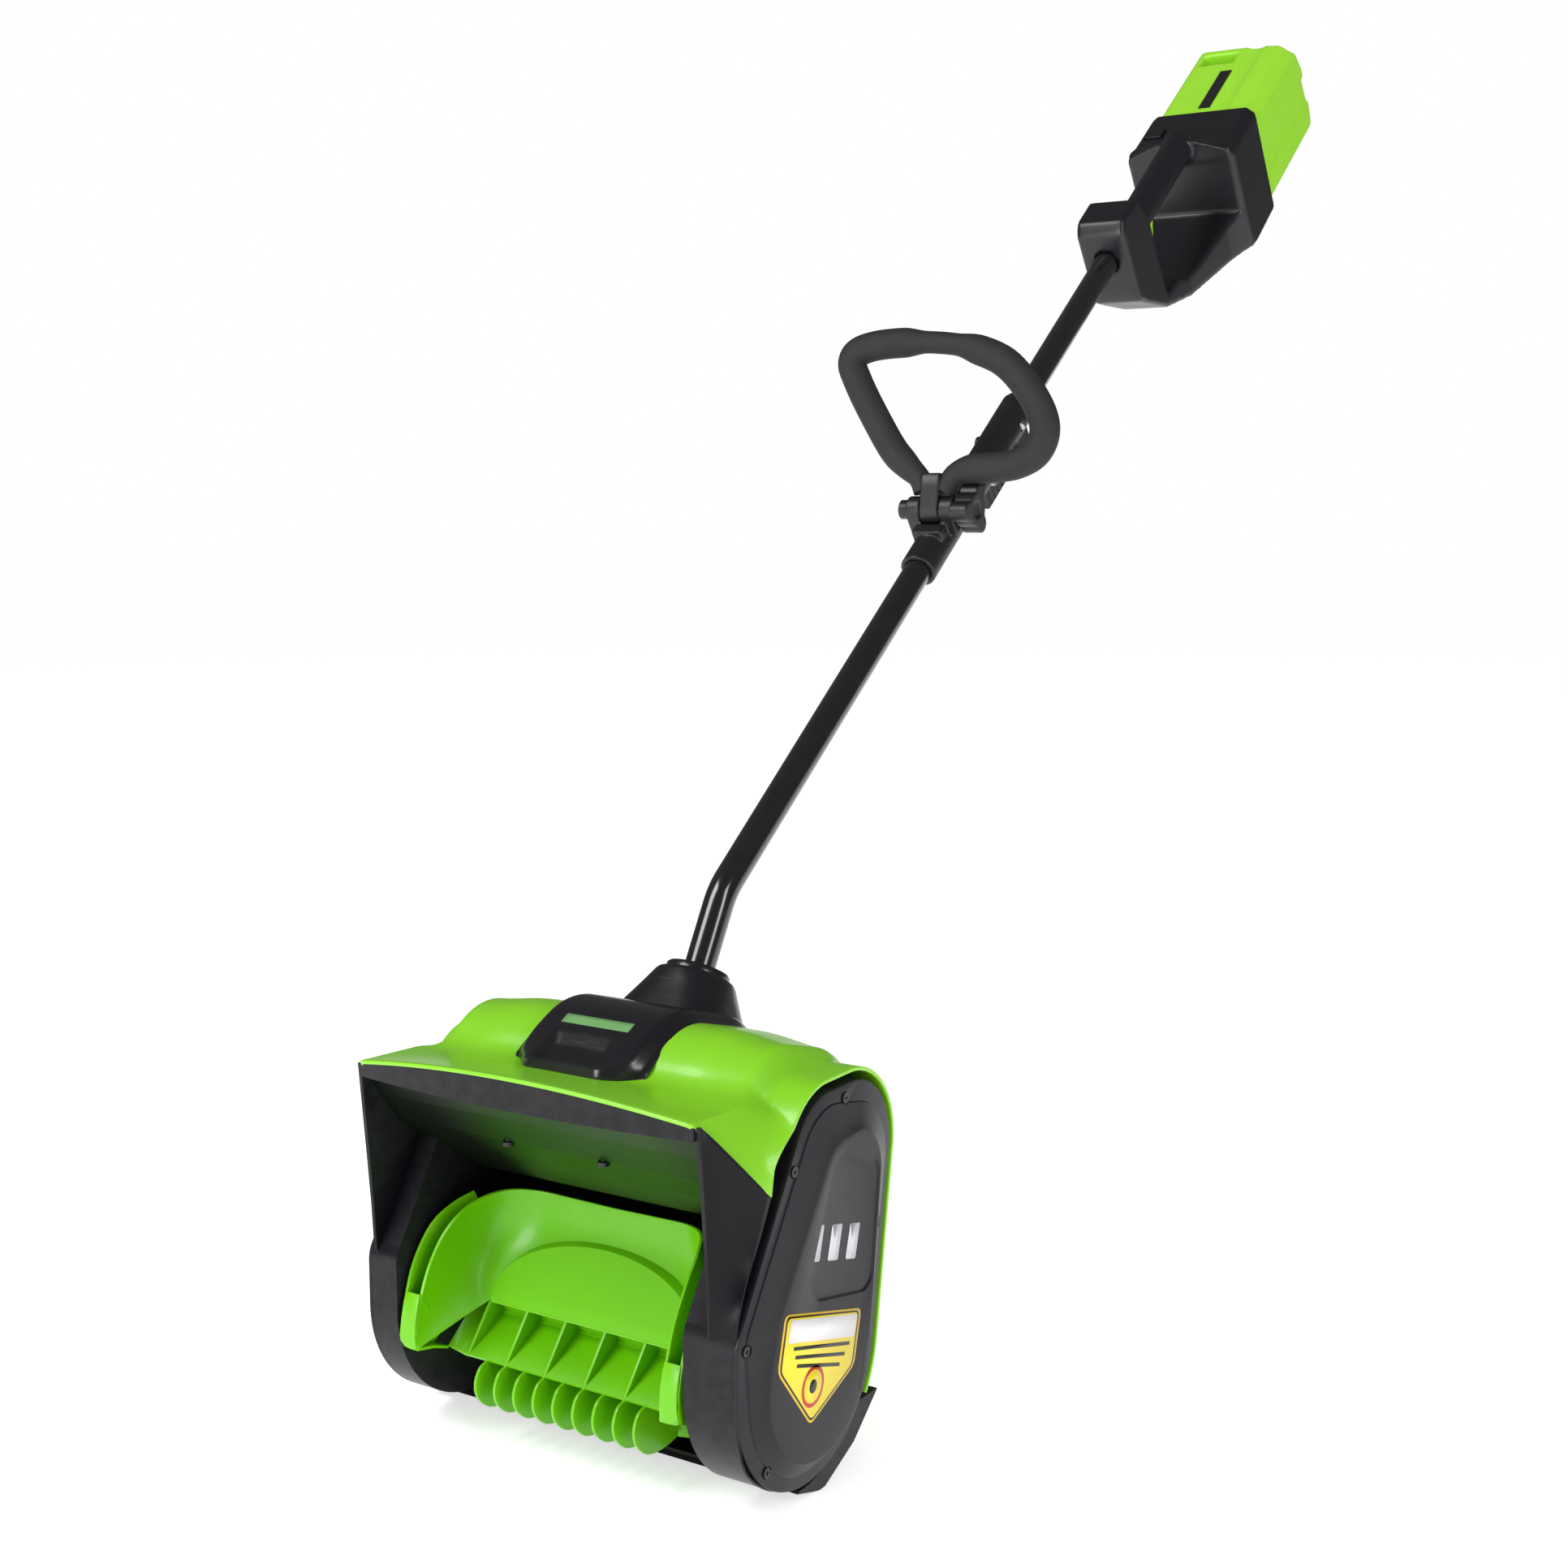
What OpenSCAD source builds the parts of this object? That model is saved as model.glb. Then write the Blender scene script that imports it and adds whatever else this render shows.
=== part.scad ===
// Cordless snow shovel: powered rotor head, bent shaft with a loop handle,
// rear handle and slide-in battery. Millimetres, +Z up, mouth towards -Y,
// rotor axis along X, scraper edge on the ground at the origin.

/* [Head] */
// Height of the rotor axle above the ground
axle_z = 106; // [100:1:115]
// Rotor radius over the blade tips
rotor_r = 88; // [80:1:89]
// Half width of the mouth over the side wings
wing_x = 155; // [150:1:160]
// Half width of the rotor channel between the side frames
drum_x = 132; // [128:1:136]

/* [Shaft] */
// Outside radius of the shaft tubes
tube_r = 12.7; // [11:0.1:14]
// Angle of the main shaft run above the ground
shaft_a = 37.6; // [30:0.2:50]
// Angle of the short neck above the ground
neck_a = 60; // [50:1:70]
// Lean of the loop handle from the shaft
loop_a = 47.5; // [30:0.5:90]

/* [Drive] */
// Working radius of the small belt pulley
pinion_r = 11; // [9:0.5:14]
// Working radius of the large belt pulley
wheel_r = 44; // [36:1:50]

/* [Hidden] */
$fn = 48;
// rotor axle, motor and shaft bend centres (y, z)
AY = -26;
AZ = axle_z;
MY = 14;
MZ = 250;
BY = 132.5;
BZ = 403.1;
// radius of the shaft bend
bend_r = 60;
// rings of circles (y, z, r) round the side flanges, hood body and motor cover
flange_c = [[-20,105,92],[38,240,56],[6,250,46],[-86,140,26]];
body_c = [[-20,105,101],[40,245,68],[4,262,61],[-40,235,50]];
cover_c = [[30,215,80],[42,248,78],[2,266,72],[-20,240,54]];
green = [0.42,0.78,0.05];
black = [0.05,0.05,0.06];
steel = [0.62,0.63,0.65];
// raised boss of the drive cover (y, z, r)
boss_c = [[-18,103,80.5],[39,232,47],[10,242,43],[-72,140,30]];
// flat face on that boss (y, z, r)
face_c = [[-14,100,68],[36,226,34],[18,230,29],[-46,140,26]];
// idler pulley centre
IY = 46.5;
IZ = 196;
// loop handle pivot along and above the shaft
PS = 462;
PN = 26;
// loop handle: corner centres, corner radius and leg length
loop_w = 57;
loop_h = 114;
loop_cr = 45;
loop_leg = 64;
// yoke above the clamp cheeks, with the two tube sockets at its ends
yoke = [[15,27.5],[36,30],[66,46],[54,62],[34,47],[-34,47],[-54,62],[-66,46],[-36,30],[-15,27.5]];
// side view of a rotor end wall, about the axle
wall2d_pts = [[-22,-2],[-52,-34],[-86,-26],[-87,-17],[-82,8],[-72,34],[-54,58],[-30,73],[-4,79],[12,77.5],
  [7,54],[0,37],[-10,17.5]];
// side view of the rear handle (s, n)
hs = [[922,-50],[920,-40],[920,32],[930,44],[972,44],[992,12],[1158,12],[1172,-4],[1182,-7],[1248,-7],
  [1248,-131],[1180,-133],[1040,-119],[985,-98],[940,-64]];
// handle screw centres (s, n) and the x of each head seat
hscrew = [[931,29,16],[966,33,12],[984,-86,20],[1030,-104,22],[1172,-26,44],[1172,-108,44]];
// cover screw centres (y, z)
cscrew = [[28,286],[-41,250],[74,180],[-102,141],[42,58],[-77,44]];

// ---- frames and shared outlines ----
function grow(c, d) = [for (p = c) [p[0], p[1], p[2] + d]];
function tang(a, b) = let(dx = b[0]-a[0], dy = b[1]-a[1], l = sqrt(dx*dx+dy*dy),
  t = atan2(dy, dx) - acos((a[2]-b[2])/l), n = [cos(t), sin(t)])
  [[a[0]+a[2]*n[0], a[1]+a[2]*n[1]], [b[0]+b[2]*n[0], b[1]+b[2]*n[1]]];
// outline round a ring of circles; its straight runs sit a hair inside the tangents
module belt2d(c) {
  n = len(c);
  d = grow(c, -0.03);
  polygon([for (i = [0:n-1]) each tang(d[i], d[(i+1)%n])]);
  for (p = c) translate([p[0], p[1]]) circle(p[2]);
}
module side(x0, x1) {
  translate([x0, 0, 0]) rotate([90, 0, 90]) linear_extrude(height = x1-x0) children();
}
module xcyl(x0, x1, y, z, r) {
  translate([x0, y, z]) rotate([0, 90, 0]) cylinder(h = x1-x0, r = r);
}
module on_shaft() {
  translate([0, BY, BZ]) rotate([shaft_a, 0, 0]) children();
}
module on_neck() {
  translate([0, BY, BZ]) rotate([neck_a, 0, 0]) children();
}
module scyl(s0, s1, r, x = 0, n = 0) {
  translate([x, s0, n]) rotate([-90, 0, 0]) cylinder(h = s1-s0, r = r);
}
// screw with a cross recess, head outwards along +X
module xscrew(x, y, z, r, l) {
  difference() {
    union() {
      xcyl(x-l, x, y, z, r*0.45);
      xcyl(x, x+r*0.55, y, z, r);
    }
    translate([x+r*0.35, y-r*0.55, z-r*0.12]) cube([r, r*1.1, r*0.24]);
    translate([x+r*0.35, y-r*0.12, z-r*0.55]) cube([r, r*0.24, r*1.1]);
  }
}

// ---- head shell ----
module hood() {
  color(green) difference() {
    union() {
      // arched body
      difference() {
        side(-150, 150) difference() {
          belt2d(body_c);
          polygon([[-200,285],[-52,285],[-52,262],[-30,236],[0,215],[60,215],[90,160],[60,47.5],
            [200,47.5],[200,-50],[-200,-50]]);
        }
        side(-151, 151) belt2d(grow(body_c, -3));
      }
      // side bands round the covers
      for (x = [[149.9,176],[-157,-149.9]]) side(x[0], x[1]) difference() {
        belt2d(grow(flange_c, 9));
        belt2d(grow(flange_c, 0.4));
        polygon([[-300,292],[-128,292],[-69,240],[-58,240],[-20,180],[40,47.5],[200,47.5],[200,-50],
          [-300,-50]]);
      }
      // end webs joining body and bands
      for (x = [[147,150],[-150,-147]]) side(x[0], x[1]) difference() {
        union() {
          belt2d(body_c);
          polygon([[-121,299],[-60,293],[-30,250],[-66,236.5]]);
        }
        belt2d(grow(flange_c, 0.4));
        polygon([[-300,295],[-125,295],[-69,240],[-58,240],[-20,190],[40,47.5],[200,47.5],[200,-50],
          [-300,-50]]);
      }
      // crowned deflector
      intersection() {
        translate([0, -45, -705]) rotate([83, 0, 0]) difference() {
          cylinder(h = 100, r = 1001.5, $fn = 200);
          translate([0, 0, -1]) cylinder(h = 102, r = 998.5, $fn = 200);
        }
        translate([0, 863, 0]) cylinder(h = 400, r = 1000, $fn = 200);
        translate([-155, -150, 250]) cube([310, 105, 100]);
      }
    }
    // seat of the motor cover
    side(-60.4, 60.4) polygon([[-75,400],[-75,300],[-55,262],[-20,236],[102,190],[140,190],[140,400]]);
    for (x = [-44, 44]) translate([x, -100, 280]) cylinder(h = 40, r = 2.2);
  }
}
module cavity2d(d) {
  translate([AY, AZ]) circle(92 + d);
  polygon([[-140,312+d],[-123,297+d],[-104,270+d],[-84,246+d],[-60,225+d],[-26,198+d],[AY,AZ],
    [-60,14-d],[-200,14-d],[-200,312+d]]);
}
module liner() {
  color(black) difference() {
    union() {
      side(-drum_x+0.3, drum_x-0.3) difference() {
        cavity2d(3);
        cavity2d(0);
        translate([-320, -60]) square([200, 500]);
        translate([-200, -60]) square([170, 160]);
      }
      side(-wing_x+3.3, wing_x-3.3) difference() {
        cavity2d(3);
        cavity2d(0);
        translate([-320, -60]) square([200, 500]);
        translate([-200, -60]) square([400, 240]);
        belt2d(grow(flange_c, 0.4));
        square([200, 400]);
      }
      // posts the roof screws and the motor plate bite into
      for (x = [-44, 44]) translate([x, -84, 240]) cylinder(h = 51, r = 6.5);
      translate([-52, -8, 200]) cube([4, 50, 46]);
      translate([52.5, -8, 200]) cube([4, 50, 46]);
    }
    for (x = [-44, 44]) translate([x, -84, 230]) {
      cylinder(h = 55, r = 1.9);
      cylinder(h = 16.2, r = 4.7);
    }
    xcyl(-60, 60, MY, MZ, 34.4);
    side(-151, 151) cavity2d(0);
  }
}
module wing2d() {
  difference() {
    polygon([[-123,298.5],[-117,233],[-113,187],[-111,151],[-108,114],[-100,76],[-88,52],[-66,30],
      [-42,17],[-20,13],[-20,60],[-60,120],[-40,180],[-20,200],[-66.5,239]]);
    belt2d(grow(flange_c, -3));
  }
}
module side_frame_right() {
  color(black) difference() {
    union() {
      side(drum_x, drum_x+3) belt2d(grow(flange_c, 0));
      side(drum_x, 173.7) difference() {
        belt2d(flange_c);
        belt2d(grow(flange_c, -3));
      }
      side(wing_x-3, wing_x) wing2d();
      xcyl(drum_x, drum_x+12, AY, AZ, 20);
      xcyl(drum_x, drum_x+6, MY, MZ, 14);
      // screw posts
      for (p = cscrew)
        xcyl(drum_x, 173.7, p[0], p[1], 4.6);
      // stiffening ribs inside the case
      for (a = [20, 100, 160, 250, 310]) translate([drum_x+3, AY, AZ]) rotate([a, 0, 0])
        translate([0, 20, -1]) cube([6, 42, 2]);
    }
    xcyl(drum_x-1, drum_x+20, AY, AZ, 8);
    xcyl(drum_x+2, drum_x+20, AY, AZ, 16.05);
    xcyl(drum_x-1, drum_x+20, MY, MZ, 5.18);
    for (p = cscrew)
      xcyl(150, 180, p[0], p[1], 1.8);
    xcyl(drum_x-1, drum_x+20, 58, 176, 2.6);
  }
}
module side_frame_left() {
  color(black) difference() {
    union() {
      side(-drum_x-3, -drum_x) belt2d(flange_c);
      side(-157, -drum_x) difference() {
        belt2d(flange_c);
        belt2d(grow(flange_c, -3));
      }
      side(-wing_x, -wing_x+3) wing2d();
      xcyl(-drum_x-12, -drum_x, AY, AZ, 20);
      for (p = cscrew)
        xcyl(-157, -drum_x, p[0], p[1], 4.6);
      for (a = [20, 70, 120, 160, 250, 310]) translate([-drum_x-9, AY, AZ]) rotate([a, 0, 0])
        translate([0, 19, -1]) cube([6, 48, 2]);
    }
    xcyl(-drum_x-20, -drum_x+1, AY, AZ, 8);
    xcyl(-drum_x-20, -drum_x-2, AY, AZ, 16.05);
    for (p = cscrew)
      xcyl(-160, -146, p[0], p[1], 1.8);
  }
}
module drive_cover() {
  color(black) difference() {
    union() {
      side(174, 177) belt2d(flange_c);
      side(176.9, 180) belt2d(boss_c);
      side(179.9, 182) belt2d(grow(face_c, 5));
      side(181.9, 184) belt2d(face_c);
    }
    side(173, 180.6) belt2d(grow(face_c, -3));
    side(182.2, 190) belt2d([[-8,170,18],[44,158,16],[52,220,14],[16,236,14]]);
    for (p = cscrew) {
      xcyl(170, 190, p[0], p[1], 2.3);
      xcyl(176, 190, p[0], p[1], 4.4);
    }
  }
}
module left_cover() {
  color(black) difference() {
    union() {
      side(-160, -157.3) belt2d(flange_c);
      side(-162.5, -159.9) belt2d(grow(face_c, 4));
    }
    xcyl(-161, -150, AY, AZ, 14);
    for (p = cscrew) {
      xcyl(-170, -150, p[0], p[1], 2.3);
      xcyl(-170, -160, p[0], p[1], 4.4);
    }
  }
}
module cover_screws() {
  color(steel*0.3) for (p = cscrew)
    xscrew(176.1, p[0], p[1], 3.9, 16);
}
module left_screws() {
  color(steel*0.3) mirror([1, 0, 0])
    for (p = cscrew)
      xscrew(160.1, p[0], p[1], 3.9, 11);
}
module roof_screws() {
  color(steel*0.3) for (x = [-44, 44]) translate([x, -84, 0]) difference() {
    union() {
      translate([0, 0, 243]) cylinder(h = 3, r = 4.2);
      translate([0, 0, 245.9]) cylinder(h = 24, r = 1.7);
    }
    translate([-2.5, -0.5, 242]) cube([5, 1, 2.2]);
    translate([-0.5, -2.5, 242]) cube([1, 5, 2.2]);
  }
}
function lip_y(x) = -137+12*pow(x/155, 2);
function lip_z(x) = -705+(-lip_y(x)-45)*tan(7)+sqrt(1006*1006-x*x);
module lip_trim() {
  xs = [for (i = [-10:10]) i*15.1];
  color(black) intersection() {
    translate([0, 0, 280]) linear_extrude(height = 60)
      polygon(concat([for (x = xs) [x, lip_y(x)+0.6]], [for (i = [20:-1:0]) [xs[i], lip_y(xs[i])+4.6]]));
    translate([0, -100, 0]) rotate([90, 0, 0]) linear_extrude(height = 60)
      polygon(concat([[151,289],[-151,289]], [for (x = xs) [x, lip_z(x)-1.4]]));
  }
}
module scraper_bar() {
  color(black) difference() {
    side(-176, 176) polygon([[-34,9.5],[-14,3],[-4,0],[4,0],[45,18],[79,46],[79,47.1],[40,47.1],[-20,14]]);
    side(-180, 180) translate([AY, AZ]) circle(95.4);
    side(-180, 180) belt2d(grow(flange_c, 0.4));
    // lightening pockets in the rear face
    for (i = [-4:4]) translate([i*36-13, 52, 14]) rotate([40, 0, 0]) cube([26, 12, 8]);
  }
}

// ---- motor cover, socket and drive ----
module motor_cover() {
  color(black) difference() {
    union() {
      side(-60, 60) difference() {
        belt2d(cover_c);
        polygon([[-300,-50],[-300,300],[-76,300],[-54,264],[-20,238],[100,192],[300,192],[300,-50]]);
      }
      side(-56, 56) polygon([[-76,302],[-74,308],[-40,326],[-20,332],[-20,300],[-50,270]]);
    }
    side(-57, 57) {
      belt2d(grow(cover_c, -3));
      polygon([[-70,301],[-60,308],[-20,320],[-10,290],[-48,264]]);
    }
    // recessed window at the front
    translate([-27, -78, 309]) rotate([27, 0, 0]) cube([54, 22, 30]);
    on_neck() scyl(-170, 0, 14);
    xcyl(50, 70, MY, MZ, 6);
  }
}
module shaft_socket() {
  color(black) difference() {
    on_neck() union() {
      translate([0, -128, 0]) rotate([-90, 0, 0]) cylinder(h = 52, r1 = 56, r2 = 34);
      scyl(-76.1, -68, 30);
      scyl(-68.1, -65, 27);
    }
    side(-80, 80) belt2d(grow(cover_c, 0.4));
    on_neck() scyl(-200, 0, tube_r+0.3);
    on_neck() difference() {
      translate([0, -131, 0]) rotate([-90, 0, 0]) cylinder(h = 50, r1 = 53, r2 = 31);
      scyl(-140, -60, 17);
    }
  }
}
module shaft_mount() {
  color(steel*0.6) difference() {
    union() {
      on_neck() scyl(-160, -112, 19);
      translate([-40, 56, 226]) cube([80, 26, 5]);
      for (x = [-22, 16]) translate([x, 52, 228]) cube([6, 24, 36]);
    }
    on_neck() scyl(-150, -60, tube_r+0.2);
    on_neck() scyl(-170, -100, 6);
    for (x = [-32, 32]) translate([x, 69, 220]) cylinder(h = 20, r = 2.6);
    xcyl(-60, 60, MY, MZ, 34.4);
    side(-80, 80) difference() {
      square([300, 500]);
      belt2d(grow(cover_c, -3.4));
    }
  }
}
module motor_can() {
  color(steel*0.7) difference() {
    union() {
      xcyl(-38, 46, MY, MZ, 34);
      xcyl(46, 50, MY, MZ, 22);
      xcyl(-42, -38, MY, MZ, 18);
    }
    xcyl(-35, 43, MY, MZ, 31);
    xcyl(-50, 60, MY, MZ, 5.2);
    for (a = [0:45:315]) translate([44, MY, MZ]) rotate([a, 0, 0])
      translate([-2, 17, -3]) cube([10, 9, 6]);
  }
  color([0.72,0.4,0.16]) difference() {
    xcyl(-30, 38, MY, MZ, 30.9);
    xcyl(-31, 39, MY, MZ, 20);
    for (a = [0:30:330]) translate([0, MY, MZ]) rotate([a, 0, 0])
      translate([-31, 19, -1.5]) cube([70, 9, 3]);
  }
}
module motor_rotor() {
  color(steel) union() {
    xcyl(-41, 165.5, MY, MZ, 5.1);
    xcyl(-28, 36, MY, MZ, 19);
  }
}
module drive_pulley() {
  color(steel) difference() {
    union() {
      xcyl(148, 162, MY, MZ, pinion_r-0.1);
      xcyl(146, 148.1, MY, MZ, pinion_r+3);
      xcyl(161.9, 164, MY, MZ, pinion_r+3);
    }
    xcyl(140, 170, MY, MZ, 5.3);
    for (a = [0:24:336]) translate([148.2, MY, MZ]) rotate([a, 0, 0])
      translate([0, pinion_r-1.2, -0.8]) cube([13.6, 3, 1.6]);
  }
}
module rotor_pulley() {
  color([0.12,0.12,0.13]) difference() {
    union() {
      xcyl(148, 162, AY, AZ, wheel_r-0.1);
      xcyl(146, 148.1, AY, AZ, wheel_r+3);
      xcyl(161.9, 164, AY, AZ, wheel_r+3);
    }
    xcyl(140, 170, AY, AZ, 6.2);
    xcyl(158, 170, AY, AZ, 36);
    for (a = [0:60:300]) translate([0, AY, AZ]) rotate([a, 0, 0]) xcyl(140, 170, 24, 0, 7);
    for (a = [0:6:354]) translate([148.2, AY, AZ]) rotate([a, 0, 0])
      translate([0, wheel_r-1.2, -0.8]) cube([13.6, 3, 1.6]);
  }
}
module drive_belt() {
  color([0.03,0.03,0.03]) side(149, 161) difference() {
    belt2d([[AY,AZ,wheel_r+2.6],[MY,MZ,pinion_r+2.6]]);
    belt2d([[AY,AZ,wheel_r+0.1],[MY,MZ,pinion_r+0.1]]);
  }
}
module idler_arm() {
  color(steel*0.8) difference() {
    union() {
      side(140, 143) belt2d([[58,176,8],[IY,IZ,8]]);
      xcyl(drum_x+3.3, 143, 58, 176, 8);
      xcyl(142.9, 163, IY, IZ, 3);
      xcyl(142.9, 147, IY, IZ, 5);
      xcyl(162, 164, IY, IZ, 6);
    }
    xcyl(130, 150, 58, 176, 2.6);
  }
}
module idler_pulley() {
  color([0.12,0.12,0.13]) difference() {
    union() {
      xcyl(148, 161.5, IY, IZ, 9);
      xcyl(148, 149, IY, IZ, 10);
    }
    xcyl(140, 170, IY, IZ, 3.05);
  }
}
module bearing_right() {
  color(steel) difference() {
    xcyl(drum_x+2.2, drum_x+12, AY, AZ, 16);
    xcyl(drum_x, drum_x+20, AY, AZ, 6.05);
    difference() {
      xcyl(drum_x+11, drum_x+13, AY, AZ, 13.5);
      xcyl(drum_x+10, drum_x+14, AY, AZ, 9);
    }
  }
}
module bearing_left() {
  mirror([1, 0, 0]) bearing_right();
}
module axle() {
  color(steel) xcyl(-154, 170, AY, AZ, 6);
}
module axle_nuts() {
  color(steel) for (x = [[164.1,170.5],[-154.5,-146]]) difference() {
    translate([x[0], AY, AZ]) rotate([0, 90, 0]) cylinder(h = x[1]-x[0], r = 10, $fn = 6);
    xcyl(-200, 200, AY, AZ, 6.05);
  }
}

// ---- rotor, in a frame about the axle ----
module half_rotor() {
  // back sheet of the scoop, hollowed in plan towards the middle
  side(-124, 124)
    polygon([[-23,-2],[-12,18],[-2,37],[5,54],[11,77],[14,76.5],[8,53],[1,36],[-9,16.5],[-20,-3]]);
  // hub plate with a rounded rear edge
  intersection() {
    side(-92, 92) polygon([[-23.5,-3],[-13,17],[-3,36],[2,46],[6,46],[0,30],[-20,-6]]);
    translate([0, -28, -8]) rotate([-28, 0, 0]) translate([0, 0, -10]) cylinder(h = 80, r = 92);
  }
  // sloping shelf from the hub to the front lip
  side(-112, 112) polygon([[-52,-38],[-50,-40],[-11,-19],[-6,-12],[-9,-10],[-14,-15]]);
  // triangular ribs of the groove
  for (x = [-92.5, -55.5, -18.5, 18.5, 55.5, 92.5]) side(x-1, x+1)
    polygon([[-22.5,-1.5],[-51,-37.5],[-12,-17],[-8,-8]]);
  // curved ribs on the back of the other scoop
  for (i = [-4:4]) side(i*18.5-0.9, i*18.5+0.9)
    intersection() {
      circle(rotor_r);
      difference() {
        translate([-30, -45]) circle(38);
        polygon([[-60,-36],[-11,-17],[-2,-34],[-12,-77],[-12,-90],[60,-90],[60,60],[-60,60]]);
      }
    }
  // double end walls and tips
  for (m = [0, 1]) mirror([m, 0, 0]) {
    side(124, 127) polygon(wall2d_pts);
    side(112, 114.5)
      polygon([[-22,-2],[-52,-32],[-84,-25],[-72,-5],[-54,20],[-30,40],[3,52],[0,37],[-10,17.5]]);
    side(112, 127) polygon([[-52,-32],[-86,-26],[-87,-17],[-84,-12],[-80,-12],[-78,-20],[-54,-26]]);
    side(112, 127) polygon([[-22,-2],[-52,-34],[-53,-30],[-24,1]]);
  }
}
module rotor() {
  color(green) translate([0, AY, AZ]) difference() {
    union() {
      half_rotor();
      rotate([180, 0, 0]) half_rotor();
      rotate([0, 90, 0]) translate([0, 0, -127]) cylinder(h = 254, r = 14);
    }
    rotate([0, 90, 0]) translate([0, 0, -140]) cylinder(h = 280, r = 6.25);
    // core openings that show the axle
    for (x = [-74, 0, 74]) translate([x-15, -40, -13]) cube([30, 34, 7]);
    for (x = [-74, 0, 74]) translate([x-15, 6, 6]) cube([30, 34, 7]);
  }
}

// ---- electrics in the head ----
module controller() {
  color([0.1,0.12,0.1]) difference() {
    translate([-42, 50, 186]) cube([84, 34, 28]);
    for (i = [-4:4]) translate([i*9-1.5, 48, 208]) cube([3, 40, 8]);
  }
}
module harness() {
  color([0.08,0.08,0.08]) {
    bent_rod(557.9, 165) circle(3.4);
    on_shaft() scyl(558, 582, 8);
    on_shaft() scyl(582.1, 977, 2.4);
  }
}

// ---- shaft ----
module bent_rod(s1, t1) {
  ang = neck_a-shaft_a;
  tl = bend_r*tan(ang/2);
  // the neck leg butts against the bend with a hair's gap
  on_shaft() translate([0, tl, -bend_r]) rotate([180, -90, 0]) {
    union() {
      rotate_extrude(angle = ang) translate([bend_r, 0]) children();
      translate([bend_r, 0, 0]) rotate([90, 0, 0]) linear_extrude(height = s1-tl) children();
    }
    rotate([0, 0, ang]) translate([bend_r, 0.04, 0]) rotate([-90, 0, 0])
      linear_extrude(height = t1-tl) children();
  }
}
module ring2d(r, w) {
  difference() {
    circle(r);
    circle(r-w);
  }
}
module lower_tube() {
  color(black) bent_rod(583, 148) ring2d(tube_r, 1.6);
}
module upper_tube() {
  color(black) on_shaft() difference() {
    scyl(585, 978, tube_r);
    scyl(580, 990, tube_r-1.6);
    translate([6, 628, 0]) rotate([0, 90, 0]) cylinder(h = 20, r = 4.3);
  }
}
module coupler() {
  color(black) on_shaft() difference() {
    union() {
      scyl(512, 660, 17);
      scyl(506, 513, 15.5);
      scyl(659, 664, 15.5);
      translate([-8, 540, -34]) cube([16, 112, 22]);
      translate([-11, 604, -36]) cube([22, 40, 24]);
    }
    scyl(500, 670, tube_r+0.06);
    translate([-1, 590, -40]) cube([2, 80, 30]);
    translate([-20, 620, -27]) rotate([0, 90, 0]) cylinder(h = 40, r = 3.3);
    translate([6, 628, 0]) rotate([0, 90, 0]) cylinder(h = 20, r = 4.3);
    translate([6, 545, -4]) rotate([0, 90, 0]) cylinder(h = 20, r = 2.3);
    for (s = [548:9:595]) translate([-12, s, -33]) cube([6, 4, 14]);
    for (s = [548:9:595]) translate([6, s, -33]) cube([6, 4, 14]);
  }
}
module coupler_bolt() {
  color(steel) on_shaft() difference() {
    union() {
      translate([-34, 620, -27]) rotate([0, 90, 0]) cylinder(h = 46, r = 3);
      translate([11.2, 620, -27]) rotate([0, 90, 0]) cylinder(h = 7, r = 7);
    }
    translate([15, 620, -27]) rotate([0, 90, 0]) cylinder(h = 7, r = 3.4, $fn = 6);
  }
}
module lobed_knob(n, r, h, neck = 3) {
  difference() {
    union() {
      linear_extrude(height = h) {
        circle(r*0.6);
        for (i = [0:n-1]) translate([r*0.6*cos(i*360/n), r*0.6*sin(i*360/n)]) circle(r*0.34);
      }
      translate([0, 0, -neck]) cylinder(h = neck+1, r = r*0.42);
    }
    translate([0, 0, h-2]) cylinder(h = 4, r = r*0.3);
  }
}
module coupler_knob() {
  color(black) on_shaft() difference() {
    translate([-15.8, 620, -27]) rotate([0, -90, 0]) lobed_knob(5, 21, 17, 4.4);
    translate([-33, 620, -27]) rotate([0, 90, 0]) cylinder(h = 30, r = 3.1);
  }
}
module spring_button() {
  color(steel) on_shaft() {
    translate([7, 628, 0]) rotate([0, 90, 0]) cylinder(h = 11, r = 4.2);
    translate([16, 628, 0]) sphere(4.2);
    translate([6, 620, -5]) cube([1.2, 16, 10]);
  }
}
module coupler_screw() {
  color(steel) on_shaft() translate([0, 545, -4]) difference() {
    union() {
      translate([12.9, 0, 0]) rotate([0, 90, 0]) cylinder(h = 5, r = 2.2);
      translate([17.2, 0, 0]) rotate([0, 90, 0]) cylinder(h = 3, r = 4.6);
    }
    translate([19, -3, -0.5]) cube([3, 6, 1]);
  }
}

// ---- loop handle ----
module on_loop() {
  on_shaft() translate([0, PS, PN]) rotate([loop_a, 0, 0]) children();
}
module loop_clamp() {
  color(black) on_shaft() difference() {
    union() {
      scyl(404, 492, 17);
      translate([-15, 436, 0]) cube([30, 52, 20]);
      translate([-24, PS, PN]) rotate([0, 90, 0]) cylinder(h = 48, r = 12.5);
      translate([-24, PS-12.5, 6]) cube([48, 25, 20]);
    }
    scyl(400, 500, tube_r+0.06);
    translate([-30, PS, PN]) rotate([0, 90, 0]) cylinder(h = 60, r = 3.4);
    translate([-10, PS, PN]) rotate([0, 90, 0]) cylinder(h = 20, r = 14.5);
    translate([-1.2, 400, -30]) cube([2.4, 100, 25]);
    for (s = [412:12:424]) translate([-20, s, -20]) cube([40, 3, 6]);
  }
}
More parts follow.
